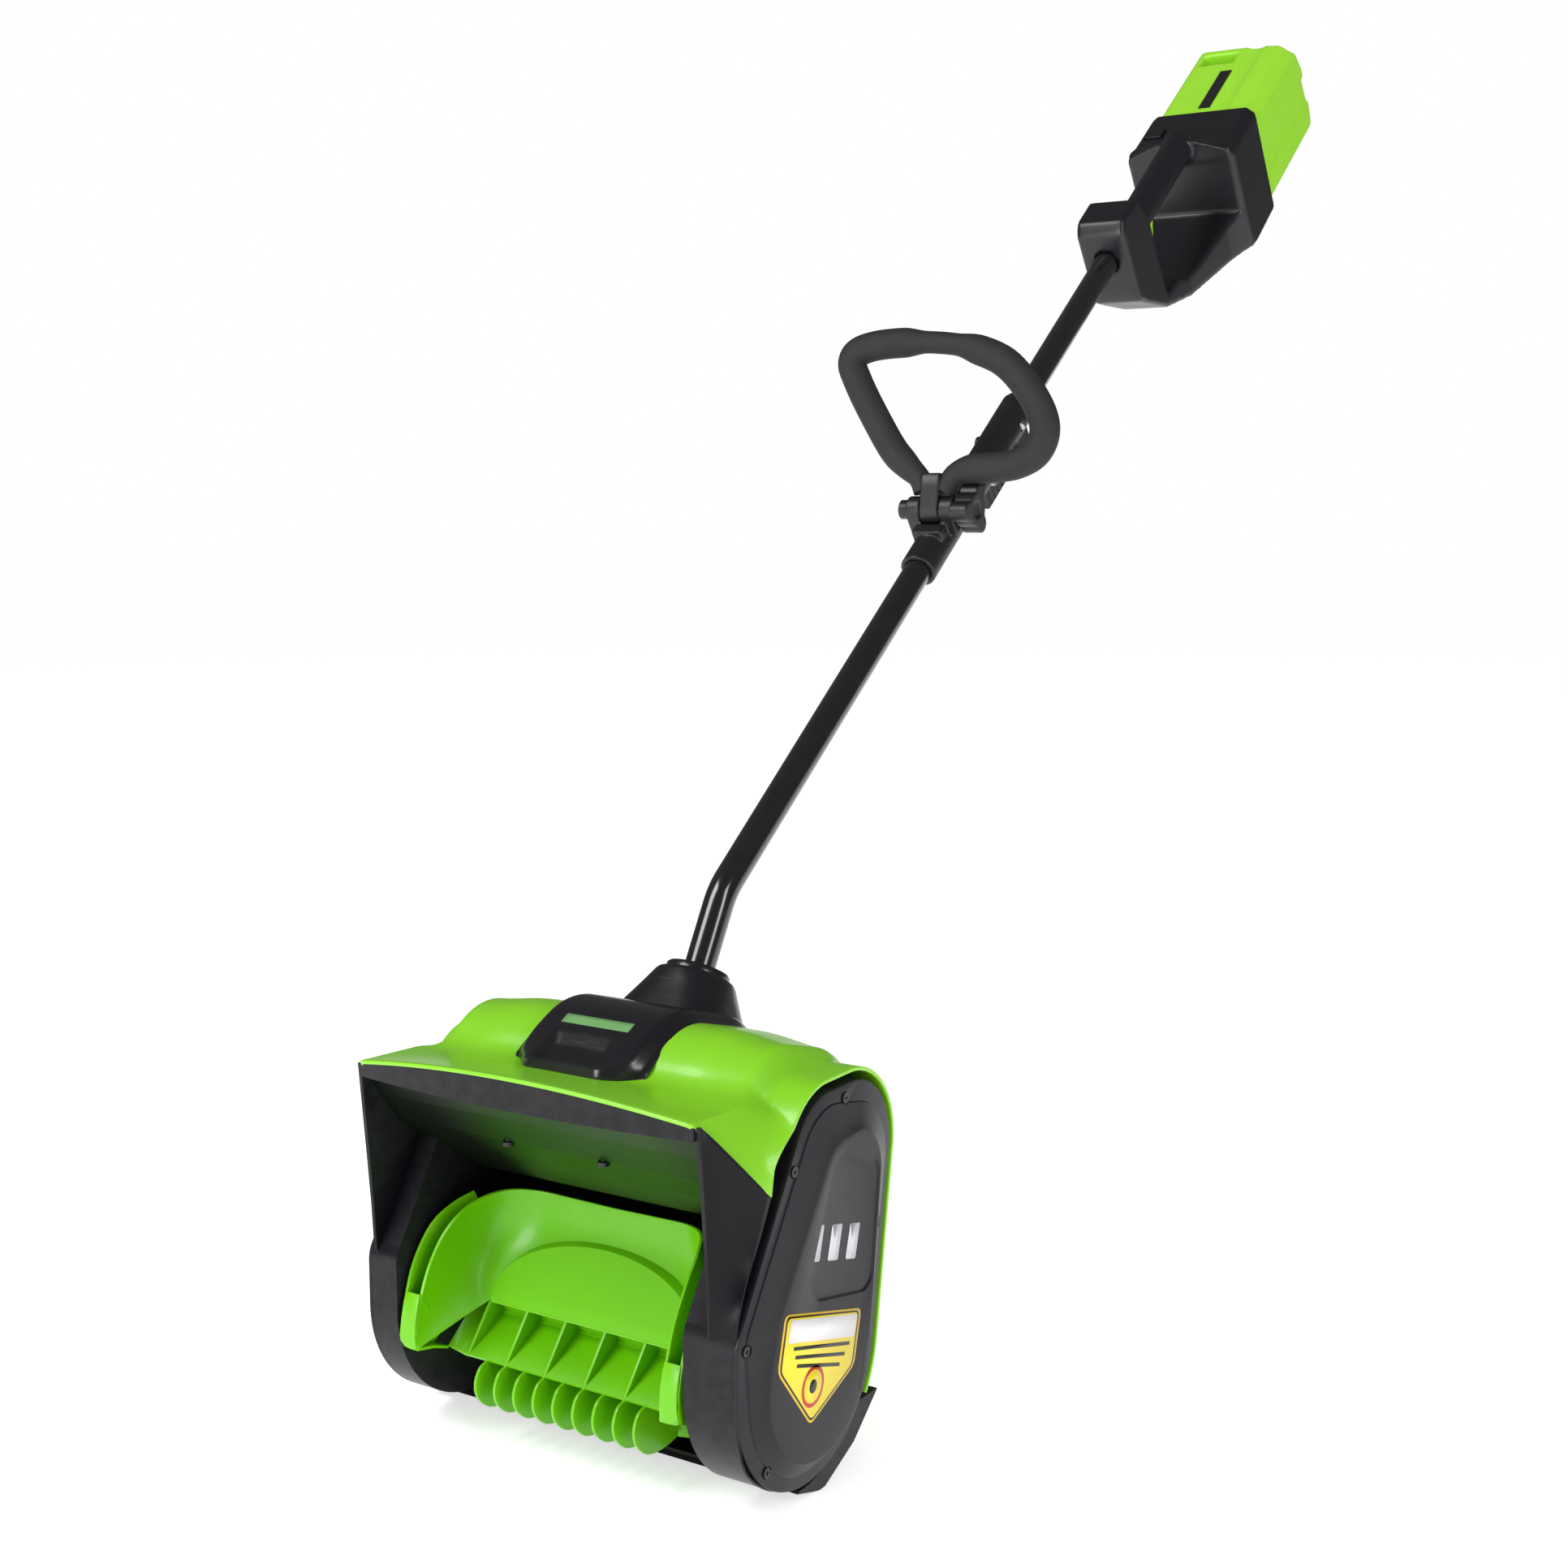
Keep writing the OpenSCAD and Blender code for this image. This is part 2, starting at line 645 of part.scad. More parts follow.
module loop_half(lo) {
  translate([loop_w, loop_h, 0]) rotate([0, 0, -38]) union() {
    rotate_extrude(angle = 128) translate([loop_cr, 0]) children();
    translate([loop_cr, 0, 0]) rotate([90, 0, 0]) linear_extrude(height = lo) children();
  }
}
// two bent halves butted to a straight top bar
module loop_rod(lo) {
  loop_half(lo) children();
  rotate([0, 180, 0]) loop_half(lo) children();
  translate([-loop_w+0.04, loop_h+loop_cr, 0]) rotate([0, 90, 0])
    linear_extrude(height = 2*loop_w-0.08) children();
}
module loop_tube() {
  color(black) on_loop() loop_rod(loop_leg) ring2d(9.5, 1.5);
}
module loop_hub() {
  color(black) on_loop() difference() {
    union() {
      rotate([0, 90, 0]) translate([0, 0, -9.6]) cylinder(h = 19.2, r = 12.9);
      translate([-9.6, 0, -9]) cube([19.2, 30, 18]);
      translate([0, 0, -12]) linear_extrude(height = 24) polygon(yoke);
    }
    rotate([0, 90, 0]) translate([0, 0, -20]) cylinder(h = 40, r = 3.4);
    for (a = [0, 180]) rotate([0, a, 0])
      translate([loop_w+loop_cr*cos(-38), loop_h+loop_cr*sin(-38), 0]) rotate([0, 0, -38])
      rotate([90, 0, 0]) cylinder(h = loop_leg+0.3, r = 9.7);
  }
}
module loop_foam() {
  color([0.09,0.09,0.1]) on_loop() loop_rod(38) ring2d(14, 4.2);
}
module loop_bolt() {
  color(black) on_shaft() {
    translate([-31, PS, PN]) rotate([0, 90, 0]) cylinder(h = 68, r = 3.2);
    translate([-33, PS, PN]) rotate([0, 90, 0]) cylinder(h = 8.7, r = 9);
  }
}
module loop_knob() {
  color(black) on_shaft() difference() {
    translate([27.3, PS, PN]) rotate([0, 90, 0]) lobed_knob(3, 26, 18);
    translate([20, PS, PN]) rotate([0, 90, 0]) cylinder(h = 17.1, r = 3.25);
  }
}

// ---- rear handle ----
module handle_body() {
  difference() {
    union() {
      intersection() {
        side(-62, 62) polygon(hs);
        translate([0, 0, -140]) linear_extrude(height = 200)
          polygon([[-27,916],[27,916],[28,985],[33,1040],[50,1130],[57,1150],[61,1165],[61,1250],
            [-61,1250],[-61,1165],[-57,1150],[-50,1130],[-33,1040],[-28,985]]);
        union() {
          translate([-62, 1156, -140]) cube([124, 100, 200]);
          translate([-62, 900, -140]) cube([124, 90, 200]);
          translate([-62, 980, -140]) cube([124, 180, 57]);
        }
      }
      scyl(975, 1168, 17.5, 0, -2);
    }
    // finger opening
    side(-80, 80)
      polygon([[1006,-19.5],[1157,-19.5],[1157,-84],[1062,-94],[1036,-93],[1022,-84],[1000,-52],[1000,-25]]);
    // chamfers of the front block
    for (m = [0, 1]) mirror([m, 0, 0]) {
      translate([27, 900, 26]) rotate([0, 45, 0]) cube([30, 90, 30]);
      translate([20, 915, -70]) rotate([0, 0, -45]) cube([20, 14, 130]);
      translate([61, 1140, -7]) rotate([0, 45, 0]) translate([-3.8, 0, -3.8]) cube([7.6, 120, 7.6]);
    }
    // battery pocket
    translate([-57.3, 1187, -127.3]) cube([114.6, 70, 115.6]);
    // shaft socket and hollow core
    scyl(900, 980, tube_r+0.2);
    scyl(984, 1150, 13.6, 0, -2);
    translate([-12, 930, -56]) cube([24, 50, 40]);
    // trigger slot
    translate([-7.2, 1006, -40]) cube([14.4, 44, 36]);
    // vents in the underside
    for (i = [0:6]) translate([-22, 1090+i*11, -140]) cube([44, 5, 17]);
    // side button and latch wells
    translate([-40, 950, 2]) rotate([0, 90, 0]) cylinder(h = 26, r = 9.3);
    translate([-52, 1192, -16]) cube([22, 20, 12]);
    translate([-44, 1187.9, -11.6]) cube([6, 5, 9]);
    // hollow behind the pocket and along the lower beam
    difference() {
      union() {
        translate([-53, 1162, -121]) cube([106, 21, 100]);
        side(-18, 18) polygon([[1010,-99],[1161,-99],[1161,-117],[1070,-113],[1012,-106]]);
      }
      for (p = hscrew) xcyl(-60, 60, p[0], p[1], 6);
    }
  }
}
module handle_right() {
  color(black) on_shaft() difference() {
    intersection() {
      handle_body();
      translate([0.05, 880, -160]) cube([90, 400, 240]);
    }
    for (p = hscrew) xcyl(-5, 8, p[0], p[1], 1.5);
  }
}
module handle_left() {
  color(black) on_shaft() difference() {
    intersection() {
      handle_body();
      translate([-90.05, 880, -160]) cube([90, 400, 240]);
    }
    for (p = hscrew) {
      xcyl(-80, 1, p[0], p[1], 1.75);
      xcyl(-80, -p[2], p[0], p[1], 3.6);
    }
  }
}
module handle_screws() {
  color(steel*0.4) on_shaft() mirror([1, 0, 0]) for (p = hscrew) difference() {
    union() {
      xcyl(-7, p[2]+0.1, p[0], p[1], 1.4);
      xcyl(p[2]+0.02, p[2]+2.4, p[0], p[1], 3.2);
    }
    translate([p[2]+1.2, p[0]-2, p[1]-0.4]) cube([3, 4, 0.8]);
    translate([p[2]+1.2, p[0]-0.4, p[1]-2]) cube([3, 0.8, 4]);
  }
}
module trigger() {
  color(green) on_shaft() difference() {
    union() {
      side(-6.6, 6.6) difference() {
        polygon([[1008,-10],[1040,-10],[1040,-22],[1030,-40],[1024,-43],[1016,-34],[1011,-22]]);
        translate([1048, -34]) circle(13);
      }
      xcyl(-6.6, 6.6, 1013, -7, 5);
    }
    xcyl(-10, 10, 1013, -7, 2.05);
  }
}
module trigger_spring() {
  color(steel) on_shaft() {
    xcyl(-11.6, 11.6, 1013, -7, 2);
    for (i = [0:2]) translate([7.4+i*1.05, 1013, -7]) rotate([0, 90, 0])
      rotate_extrude() translate([2.7, 0]) circle(0.5);
  }
}
module trigger_switch() {
  color([0.1,0.1,0.12]) on_shaft() difference() {
    union() {
      translate([-6, 1052, -11]) cube([12, 24, 14]);
      translate([-2, 1049, -6]) cube([4, 3.2, 3]);
      for (x = [-4, 2]) translate([x, 1076, -6]) cube([2, 6, 5]);
    }
    for (s = [1057, 1071]) translate([-8, s, -7]) rotate([0, 90, 0]) cylinder(h = 16, r = 1.2);
  }
}
module lock_button() {
  color([0.16,0.16,0.17]) on_shaft() difference() {
    translate([-32, 950, 2]) rotate([0, 90, 0]) cylinder(h = 13, r = 9);
    for (i = [-2:2]) translate([-33, 949.3+i*3, -6]) cube([1.8, 1.4, 16]);
  }
}
module terminal_block() {
  color([0.7,0.45,0.1]) on_shaft() {
    translate([-24, 1187.1, -84]) cube([48, 6, 30]);
    for (i = [-2:2]) translate([i*9-0.6, 1193.3, -78]) cube([1.2, 15, 18]);
  }
}
module battery() {
  color(green) on_shaft() difference() {
    union() {
      translate([-56.9, 1194.4, -126.8]) cube([113.8, 56, 114.6]);
      intersection() {
        translate([0, 1248.6, 0]) rotate([-90, 0, 0]) linear_extrude(height = 180)
          polygon([[-50,7.5],[6,7.5],[12,11],[22,11],[28,8.5],[44,10],[60,26],[60,60],[57,64],[57,92],[60,96],
            [60,122],[52,131],[-52,131],[-60,122],[-60,96],[-57,92],[-57,64],[-60,60],[-60,18]]);
        side(-70, 70) polygon([[1240,0],[1402,0],[1408,-8],[1412,-24],[1424,-50],[1428,-90],[1424,-118],
          [1412,-140],[1240,-140]]);
      }
    }
    // carry recess in the top face
    translate([-44, 1372, -34]) cube([42, 24, 40]);
    // flutes on the sides
    for (m = [0, 1]) mirror([m, 0, 0]) for (z = [-42, -112])
      translate([58.4, 1262, z]) cube([4, 150, 3]);
    for (x = [-34, 30]) translate([x, 1400, -140]) cube([12, 40, 60]);
    // terminal slots
    translate([-26, 1194, -86]) cube([52, 18, 34]);
    // stepped nose that the latch drops behind
    translate([-60, 1190, -28]) cube([120, 16, 20]);
  }
}
module battery_terminals() {
  color([0.75,0.5,0.15]) on_shaft() for (i = [-3:2])
    translate([i*9+3.2, 1198, -78]) cube([2.6, 13.95, 18]);
}
module battery_strip() {
  color([0.04,0.04,0.04]) on_shaft() translate([-10, 1262, -7.4]) cube([14, 88, 0.6]);
}
module battery_latch() {
  color(black) on_shaft() {
    translate([-51.7, 1192.4, -11.6]) cube([21.4, 17.6, 3]);
    translate([-50, 1194, -8.7]) cube([18, 16, 6.7]);
    translate([-46.5, 1199.6, -14.4]) cube([11, 4, 3]);
  }
}
module latch_spring() {
  color(steel) on_shaft() {
    for (i = [-2:2]) translate([-41+i*0.9, 1190.1, -9.4]) rotate([0, 90, 0])
      rotate_extrude() translate([1.4, 0]) circle(0.42);
    xcyl(-43.8, -38.2, 1190.1, -9.4, 0.9);
  }
}

// ---- decals, plain shapes without lettering ----
module warning_label() {
  color([0.98,0.85,0.05]) side(184.1, 184.5)
    polygon([[-60,152],[36,125],[27,86],[-30,65],[-69,116]]);
}
module side_badge() {
  color([0.8,0.82,0.85]) for (i = [0:2]) side(182.3, 182.7)
    polygon([[-18+i*18,176-i*5],[-8+i*18,173-i*5],[0+i*18,196-i*5],[-10+i*18,199-i*5]]);
}
module logo_strip() {
  color([0.35,0.7,0.3]) translate([0, 2, 266]) rotate([29, 0, 0])
    translate([-30, -6.5, 72.65]) cube([60, 13, 0.5]);
}

hood();
liner();
side_frame_right();
side_frame_left();
drive_cover();
left_cover();
lip_trim();
scraper_bar();
motor_cover();
shaft_socket();
shaft_mount();
cover_screws();
left_screws();
roof_screws();
warning_label();
side_badge();
logo_strip();
motor_can();
motor_rotor();
drive_pulley();
rotor_pulley();
drive_belt();
idler_arm();
idler_pulley();
bearing_right();
bearing_left();
axle();
rotor();
axle_nuts();
controller();
harness();
lower_tube();
coupler();
coupler_bolt();
coupler_knob();
spring_button();
coupler_screw();
loop_clamp();
loop_tube();
loop_hub();
loop_foam();
loop_bolt();
loop_knob();
upper_tube();
handle_right();
handle_left();
handle_screws();
trigger();
trigger_spring();
trigger_switch();
lock_button();
terminal_block();
battery();
battery_terminals();
battery_strip();
battery_latch();
latch_spring();
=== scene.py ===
import math

import bmesh
import bpy
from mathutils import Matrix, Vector, noise


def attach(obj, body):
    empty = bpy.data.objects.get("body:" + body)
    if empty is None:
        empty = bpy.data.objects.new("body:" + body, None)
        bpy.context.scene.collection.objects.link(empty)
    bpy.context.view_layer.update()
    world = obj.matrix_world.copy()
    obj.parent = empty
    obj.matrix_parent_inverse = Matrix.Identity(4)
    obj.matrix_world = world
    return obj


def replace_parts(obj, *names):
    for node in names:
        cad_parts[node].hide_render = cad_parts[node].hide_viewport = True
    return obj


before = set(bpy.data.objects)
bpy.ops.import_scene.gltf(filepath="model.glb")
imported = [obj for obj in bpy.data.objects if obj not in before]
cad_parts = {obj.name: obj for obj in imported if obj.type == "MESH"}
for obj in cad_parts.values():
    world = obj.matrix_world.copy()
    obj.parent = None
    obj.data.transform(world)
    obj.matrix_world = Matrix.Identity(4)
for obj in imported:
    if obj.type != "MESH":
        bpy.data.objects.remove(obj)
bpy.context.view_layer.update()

# ---------------------------------------------------------------------------
# Studio: a plain pale floor and plain soft light round the tool, with the
# camera low in front of the drive side, so the bent shaft runs away upwards.
# ---------------------------------------------------------------------------
MM = 0.001

floor_mesh = bpy.data.meshes.new("floor")
floor_mesh.from_pydata([(-30, -30, 0), (30, -30, 0), (30, 30, 0), (-30, 30, 0)], [], [(0, 1, 2, 3)])
floor = bpy.data.objects.new("floor", floor_mesh)
bpy.context.scene.collection.objects.link(floor)
floor_paint = bpy.data.materials.new("floor_paint")
floor_paint.use_nodes = True
floor_shader = floor_paint.node_tree.nodes["Principled BSDF"]
floor_shader.inputs["Base Color"].default_value = (0.93, 0.93, 0.93, 1)
floor_shader.inputs["Roughness"].default_value = 0.9
floor_shader.inputs["Specular IOR Level"].default_value = 0.0
floor_shader.inputs["Emission Color"].default_value = (1, 1, 1, 1)
floor_shader.inputs["Emission Strength"].default_value = 0.52
floor_mesh.materials.append(floor_paint)

SKY_ON_MATT, SKY_IN_GLOSS, SKY_SEEN = 0.50, 0.10, 1.0
world = bpy.data.worlds.new("soft_sky")
world.use_nodes = True
sky_nodes, sky_links = world.node_tree.nodes, world.node_tree.links
backdrop = sky_nodes["Background"]
backdrop.inputs["Color"].default_value = (1, 1, 1, 1)
which_ray = sky_nodes.new("ShaderNodeLightPath")
for_gloss = sky_nodes.new("ShaderNodeMix")
for_gloss.inputs["A"].default_value = SKY_ON_MATT
for_gloss.inputs["B"].default_value = SKY_IN_GLOSS
for_view = sky_nodes.new("ShaderNodeMix")
for_view.inputs["B"].default_value = SKY_SEEN
sky_links.new(which_ray.outputs["Is Glossy Ray"], for_gloss.inputs["Factor"])
sky_links.new(for_gloss.outputs["Result"], for_view.inputs["A"])
sky_links.new(which_ray.outputs["Is Camera Ray"], for_view.inputs["Factor"])
sky_links.new(for_view.outputs["Result"], backdrop.inputs["Strength"])
bpy.context.scene.world = world
bpy.context.scene.view_settings.view_transform = "Standard"


def soft_panel(name, place, target, width, height, watts):
    lamp = bpy.data.lights.new(name, "AREA")
    lamp.shape = "RECTANGLE"
    lamp.size = width
    lamp.size_y = height
    lamp.energy = watts
    holder = bpy.data.objects.new(name, lamp)
    holder.location = place
    holder.rotation_mode = "QUATERNION"
    holder.rotation_quaternion = (Vector(target) - Vector(place)).to_track_quat("-Z", "Y")
    bpy.context.scene.collection.objects.link(holder)
    return holder


soft_panel("key_panel", (-1.4, -1.8, 3.0), (0, 0.3, 0.4), 1.6, 1.6, 62)
soft_panel("drive_side_panel", (3.0, -0.6, 1.6), (0, 0.5, 0.5), 0.8, 2.6, 42)
soft_panel("front_panel", (-0.6, -3.2, 0.9), (0, 0, 0.25), 1.2, 1.2, 46)

camera = bpy.data.objects.new("camera", bpy.data.cameras.new("camera"))
camera.location = (0.9112, -1.2069, 0.7072)
camera.rotation_euler = (math.radians(82.34), 0, math.radians(32.48))
camera.data.lens = 47.14
camera.data.sensor_width = 36
camera.data.clip_start = 0.05
bpy.context.scene.collection.objects.link(camera)
bpy.context.scene.camera = camera

# ---------------------------------------------------------------------------
# Hood: one lime green moulding, arched over the motor and drawn out forward
# into a thin deflector lip; its two side bands wrap the black side covers.
# ---------------------------------------------------------------------------
HOOD_ARCH = [(-20, 105, 101), (40, 245, 68), (4, 262, 61), (-40, 235, 50)]
HOOD_BAND = [(-20, 105, 101), (38, 240, 65), (6, 250, 55), (-86, 140, 35)]
HOOD_WALL = 3.0


def smooth(value, start, end):
    t = min(max((value - start) / (end - start), 0.0), 1.0)
    return t * t * (3 - 2 * t)


def mix(a, b, t):
    return tuple(p + (q - p) * t for p, q in zip(a, b))


def rim_point(circles, angle, grow=0.0):
    """Point of the outline round a ring of circles whose outward normal has that angle, in degrees."""
    c, s = math.cos(math.radians(angle)), math.sin(math.radians(angle))
    y, z, r = max(circles, key=lambda k: k[0] * c + k[1] * s + k[2])
    return (y + (r + grow) * c, z + (r + grow) * s)


def bezier(a, b, c, t):
    return tuple(p * (1 - t) ** 2 + 2 * q * t * (1 - t) + r * t * t for p, q, r in zip(a, b, c))


def grid_mesh(name, rows, wrap=False, caps=False):
    """Skin over rows of points in millimetres, each row as long as the next."""
    bm = bmesh.new()
    grid = [[bm.verts.new([v * MM for v in p]) for p in row] for row in rows]
    width = len(rows[0])
    for upper, lower in zip(grid, grid[1:]):
        for i in range(width if wrap else width - 1):
            j = (i + 1) % width
            bm.faces.new((upper[i], upper[j], lower[j], lower[i]))
    if caps:
        bm.faces.new(grid[0][::-1])
        bm.faces.new(grid[-1])
    bmesh.ops.remove_doubles(bm, verts=bm.verts, dist=1e-6)
    bmesh.ops.recalc_face_normals(bm, faces=bm.faces)
    mesh = bpy.data.meshes.new(name)
    bm.to_mesh(mesh)
    bm.free()
    return mesh


def place(name, mesh, material, slot, body="frame", stands_for=(), smooth_angle=40):
    """Puts a mesh in the scene as a piece of the tool, riding on its body."""
    piece = bpy.data.objects.new(name, mesh)
    bpy.context.scene.collection.objects.link(piece)
    mesh.materials.clear()
    mesh.materials.append(material)
    mesh.shade_smooth()
    mesh.set_sharp_from_angle(angle=math.radians(smooth_angle))
    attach(piece, body)
    if stands_for:
        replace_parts(piece, *stands_for)
    return piece


def bevelled(piece, width, segments=3, angle=35):
    edge = piece.modifiers.new("rounded_edges", "BEVEL")
    edge.width = width * MM
    edge.segments = segments
    edge.limit_method = "ANGLE"
    edge.angle_limit = math.radians(angle)
    edge.harden_normals = False
    return piece


def walled(piece, thickness, offset=-1.0):
    wall = piece.modifiers.new("wall", "SOLIDIFY")
    wall.thickness = thickness * MM
    wall.offset = offset
    wall.use_even_offset = True
    return piece


def new_group(name, inputs, outputs):
    group = bpy.data.node_groups.new(name, "ShaderNodeTree")
    for label, kind, value in inputs:
        socket = group.interface.new_socket(label, in_out="INPUT", socket_type=kind)
        socket.default_value = value
    for label, kind in outputs:
        group.interface.new_socket(label, in_out="OUTPUT", socket_type=kind)
    return group, group.nodes.new("NodeGroupInput"), group.nodes.new("NodeGroupOutput")


def moulded_grain_group():
    """Fine spark-eroded grain of a mould face, and the slow mottle that handling leaves on it."""
    group, given, made = new_group(
        "moulded_grain",
        [("Grain Scale", "NodeSocketFloat", 1400.0), ("Mottle Scale", "NodeSocketFloat", 22.0)],
        [("Grain", "NodeSocketFloat"), ("Mottle", "NodeSocketFloat")],
    )
    nodes, links = group.nodes, group.links
    where = nodes.new("ShaderNodeTexCoord")
    grain = nodes.new("ShaderNodeTexNoise")
    grain.inputs["Detail"].default_value = 3.0
    mottle = nodes.new("ShaderNodeTexNoise")
    mottle.inputs["Detail"].default_value = 5.0
    mottle.inputs["Roughness"].default_value = 0.62
    links.new(where.outputs["Object"], grain.inputs["Vector"])
    links.new(where.outputs["Object"], mottle.inputs["Vector"])
    links.new(given.outputs["Grain Scale"], grain.inputs["Scale"])
    links.new(given.outputs["Mottle Scale"], mottle.inputs["Scale"])
    links.new(grain.outputs["Fac"], made.inputs["Grain"])
    links.new(mottle.outputs["Fac"], made.inputs["Mottle"])
    return group


def edge_wear_group():
    """Edges rubbed pale, broken up by a noise, and fine hairline scratches."""
    group, given, made = new_group(
        "edge_wear",
        [("Amount", "NodeSocketFloat", 0.5)],
        [("Worn", "NodeSocketFloat"), ("Scratches", "NodeSocketFloat")],
    )
    nodes, links = group.nodes, group.links
    shape = nodes.new("ShaderNodeNewGeometry")
    sharp = nodes.new("ShaderNodeMapRange")
    sharp.inputs["From Min"].default_value = 0.53
    sharp.inputs["From Max"].default_value = 0.64
    where = nodes.new("ShaderNodeTexCoord")
    broken = nodes.new("ShaderNodeTexNoise")
    broken.inputs["Scale"].default_value = 90.0
    broken.inputs["Detail"].default_value = 6.0
    both = nodes.new("ShaderNodeMath")
    both.operation = "MULTIPLY"
    scaled = nodes.new("ShaderNodeMath")
    scaled.operation = "MULTIPLY"
    streaks = nodes.new("ShaderNodeMapping")
    streaks.inputs["Scale"].default_value = (18.0, 260.0, 40.0)
    streaks.inputs["Rotation"].default_value = (0.4, 0.7, 0.3)
    hair = nodes.new("ShaderNodeTexNoise")
    hair.inputs["Scale"].default_value = 3.0
    hair.inputs["Detail"].default_value = 8.0
    thin = nodes.new("ShaderNodeMapRange")
    thin.inputs["From Min"].default_value = 0.62
    thin.inputs["From Max"].default_value = 0.72
    links.new(shape.outputs["Pointiness"], sharp.inputs["Value"])
    links.new(where.outputs["Object"], broken.inputs["Vector"])
    links.new(sharp.outputs["Result"], both.inputs[0])
    links.new(broken.outputs["Fac"], both.inputs[1])
    links.new(both.outputs[0], scaled.inputs[0])
    links.new(given.outputs["Amount"], scaled.inputs[1])
    links.new(where.outputs["Object"], streaks.inputs["Vector"])
    links.new(streaks.outputs["Vector"], hair.inputs["Vector"])
    links.new(hair.outputs["Fac"], thin.inputs["Value"])
    links.new(scaled.outputs[0], made.inputs["Worn"])
    links.new(thin.outputs["Result"], made.inputs["Scratches"])
    return group


GRAIN = moulded_grain_group()
WEAR = edge_wear_group()


def moulded(
    name, colour, deep, worn, roughness, grain=1400.0, depth=0.00002, wear=0.5, coat=0.0, shine=0.5
):
    """Moulded plastic: colour that drifts to a deeper tone, rubbed edges, and grain in the bump."""
    material = bpy.data.materials.new(name)
    material.use_nodes = True
    nodes, links = material.node_tree.nodes, material.node_tree.links
    shader = nodes["Principled BSDF"]
    grained = nodes.new("ShaderNodeGroup")
    grained.node_tree = GRAIN
    grained.inputs["Grain Scale"].default_value = grain
    rubbed = nodes.new("ShaderNodeGroup")
    rubbed.node_tree = WEAR
    rubbed.inputs["Amount"].default_value = wear
    tone = nodes.new("ShaderNodeMix")
    tone.data_type = "RGBA"
    tone.inputs["A"].default_value = (*colour, 1)
    tone.inputs["B"].default_value = (*deep, 1)
    pale = nodes.new("ShaderNodeMix")
    pale.data_type = "RGBA"
    pale.inputs["B"].default_value = (*worn, 1)
    links.new(grained.outputs["Mottle"], tone.inputs["Factor"])
    links.new(tone.outputs["Result"], pale.inputs["A"])
    links.new(rubbed.outputs["Worn"], pale.inputs["Factor"])
    links.new(pale.outputs["Result"], shader.inputs["Base Color"])
    rough = nodes.new("ShaderNodeMapRange")
    rough.inputs["To Min"].default_value = roughness - 0.06
    rough.inputs["To Max"].default_value = roughness + 0.10
    links.new(grained.outputs["Mottle"], rough.inputs["Value"])
    scuffed = nodes.new("ShaderNodeMath")
    scuffed.operation = "MULTIPLY_ADD"
    scuffed.inputs[1].default_value = 0.12
    links.new(rubbed.outputs["Scratches"], scuffed.inputs[0])
    links.new(rough.outputs["Result"], scuffed.inputs[2])
    links.new(scuffed.outputs[0], shader.inputs["Roughness"])
    bump = nodes.new("ShaderNodeBump")
    bump.inputs["Strength"].default_value = 0.5
    bump.inputs["Distance"].default_value = depth
    links.new(grained.outputs["Grain"], bump.inputs["Height"])
    links.new(bump.outputs["Normal"], shader.inputs["Normal"])
    shader.inputs["Specular IOR Level"].default_value = shine
    shader.inputs["Coat Weight"].default_value = coat
    shader.inputs["Coat Roughness"].default_value = 0.12
    return material


hood_green = moulded(
    "hood_green", (0.225, 0.60, 0.012), (0.19, 0.54, 0.009), (0.42, 0.76, 0.12), 0.33,
    wear=0.3, coat=0.2,
)


def lip_y(x):
    return -137 + 12 * (x / 155) ** 2


def lip_z(x):
    return -703.5 + (-lip_y(x) - 45) * math.tan(math.radians(7)) + math.sqrt(1006**2 - x * x)


def arch_crown(x):
    return 5.5 * (1 - smooth(abs(x), 84, 138))


def hood_row(x):
    side = smooth(abs(x), 134, 150)
    circles = [mix(a, b, side) for a, b in zip(HOOD_ARCH, HOOD_BAND)]
    crown = arch_crown(x)
    edge = 176 if x > 0 else 157
    out = min(max((abs(x) - 150) / (edge - 150), 0), 1)
    front = mix((lip_y(x), lip_z(x)), (-67, 238.5), out) if out else (lip_y(x), lip_z(x))
    first = 133 + 13 * out
    start = rim_point(circles, first, crown)
    valley = mix((-50, 297.5), (-63, 262), out)
    row = [mix(front, valley, 0.75 * i / 9) for i in range(9)]
    knee = mix(front, valley, 0.75)
    row += [bezier(knee, valley, start, i / 8) for i in range(8)]
    row += [rim_point(circles, first - (first + 34) * i / 44, crown) for i in range(45)]
    return [(x, y, z) for y, z in row]


hood_stations = [-157, -155, -152, -150, -147, -143, -139, -135, -131, -127]
hood_stations += list(range(-122, 123, 7))
hood_stations += [127, 131, 135, 139, 143, 147, 150, 154, 158, 163, 168, 173, 176]
hood = place(
    "hood_shell",
    grid_mesh("hood_shell", [hood_row(x) for x in hood_stations]),
    hood_green,
    "green_shell",
    stands_for=["hood"],
    smooth_angle=50,
)
walled(hood, HOOD_WALL, offset=1.0 if hood.data.polygons[0].normal.z < 0 else -1.0)
bevelled(hood, 0.7, 2, 60)

# ---------------------------------------------------------------------------
# Motor cover: black gloss nylon saddle over the middle of the hood, with
# sloped shoulders, a sunk window at its front and a plain printed strip.
# ---------------------------------------------------------------------------
COVER_ARCH = [(30, 215, 80), (42, 248, 78), (2, 266, 72), (-20, 240, 54)]
COVER_SHOULDER = [(26, 212, 73), (40, 245, 73), (4, 262, 66), (-20, 240, 44)]
cover_black = moulded(
    "cover_black", (0.006, 0.0055, 0.0075), (0.010, 0.009, 0.012), (0.06, 0.06, 0.065), 0.24,
    wear=0.4, coat=0.3,
)


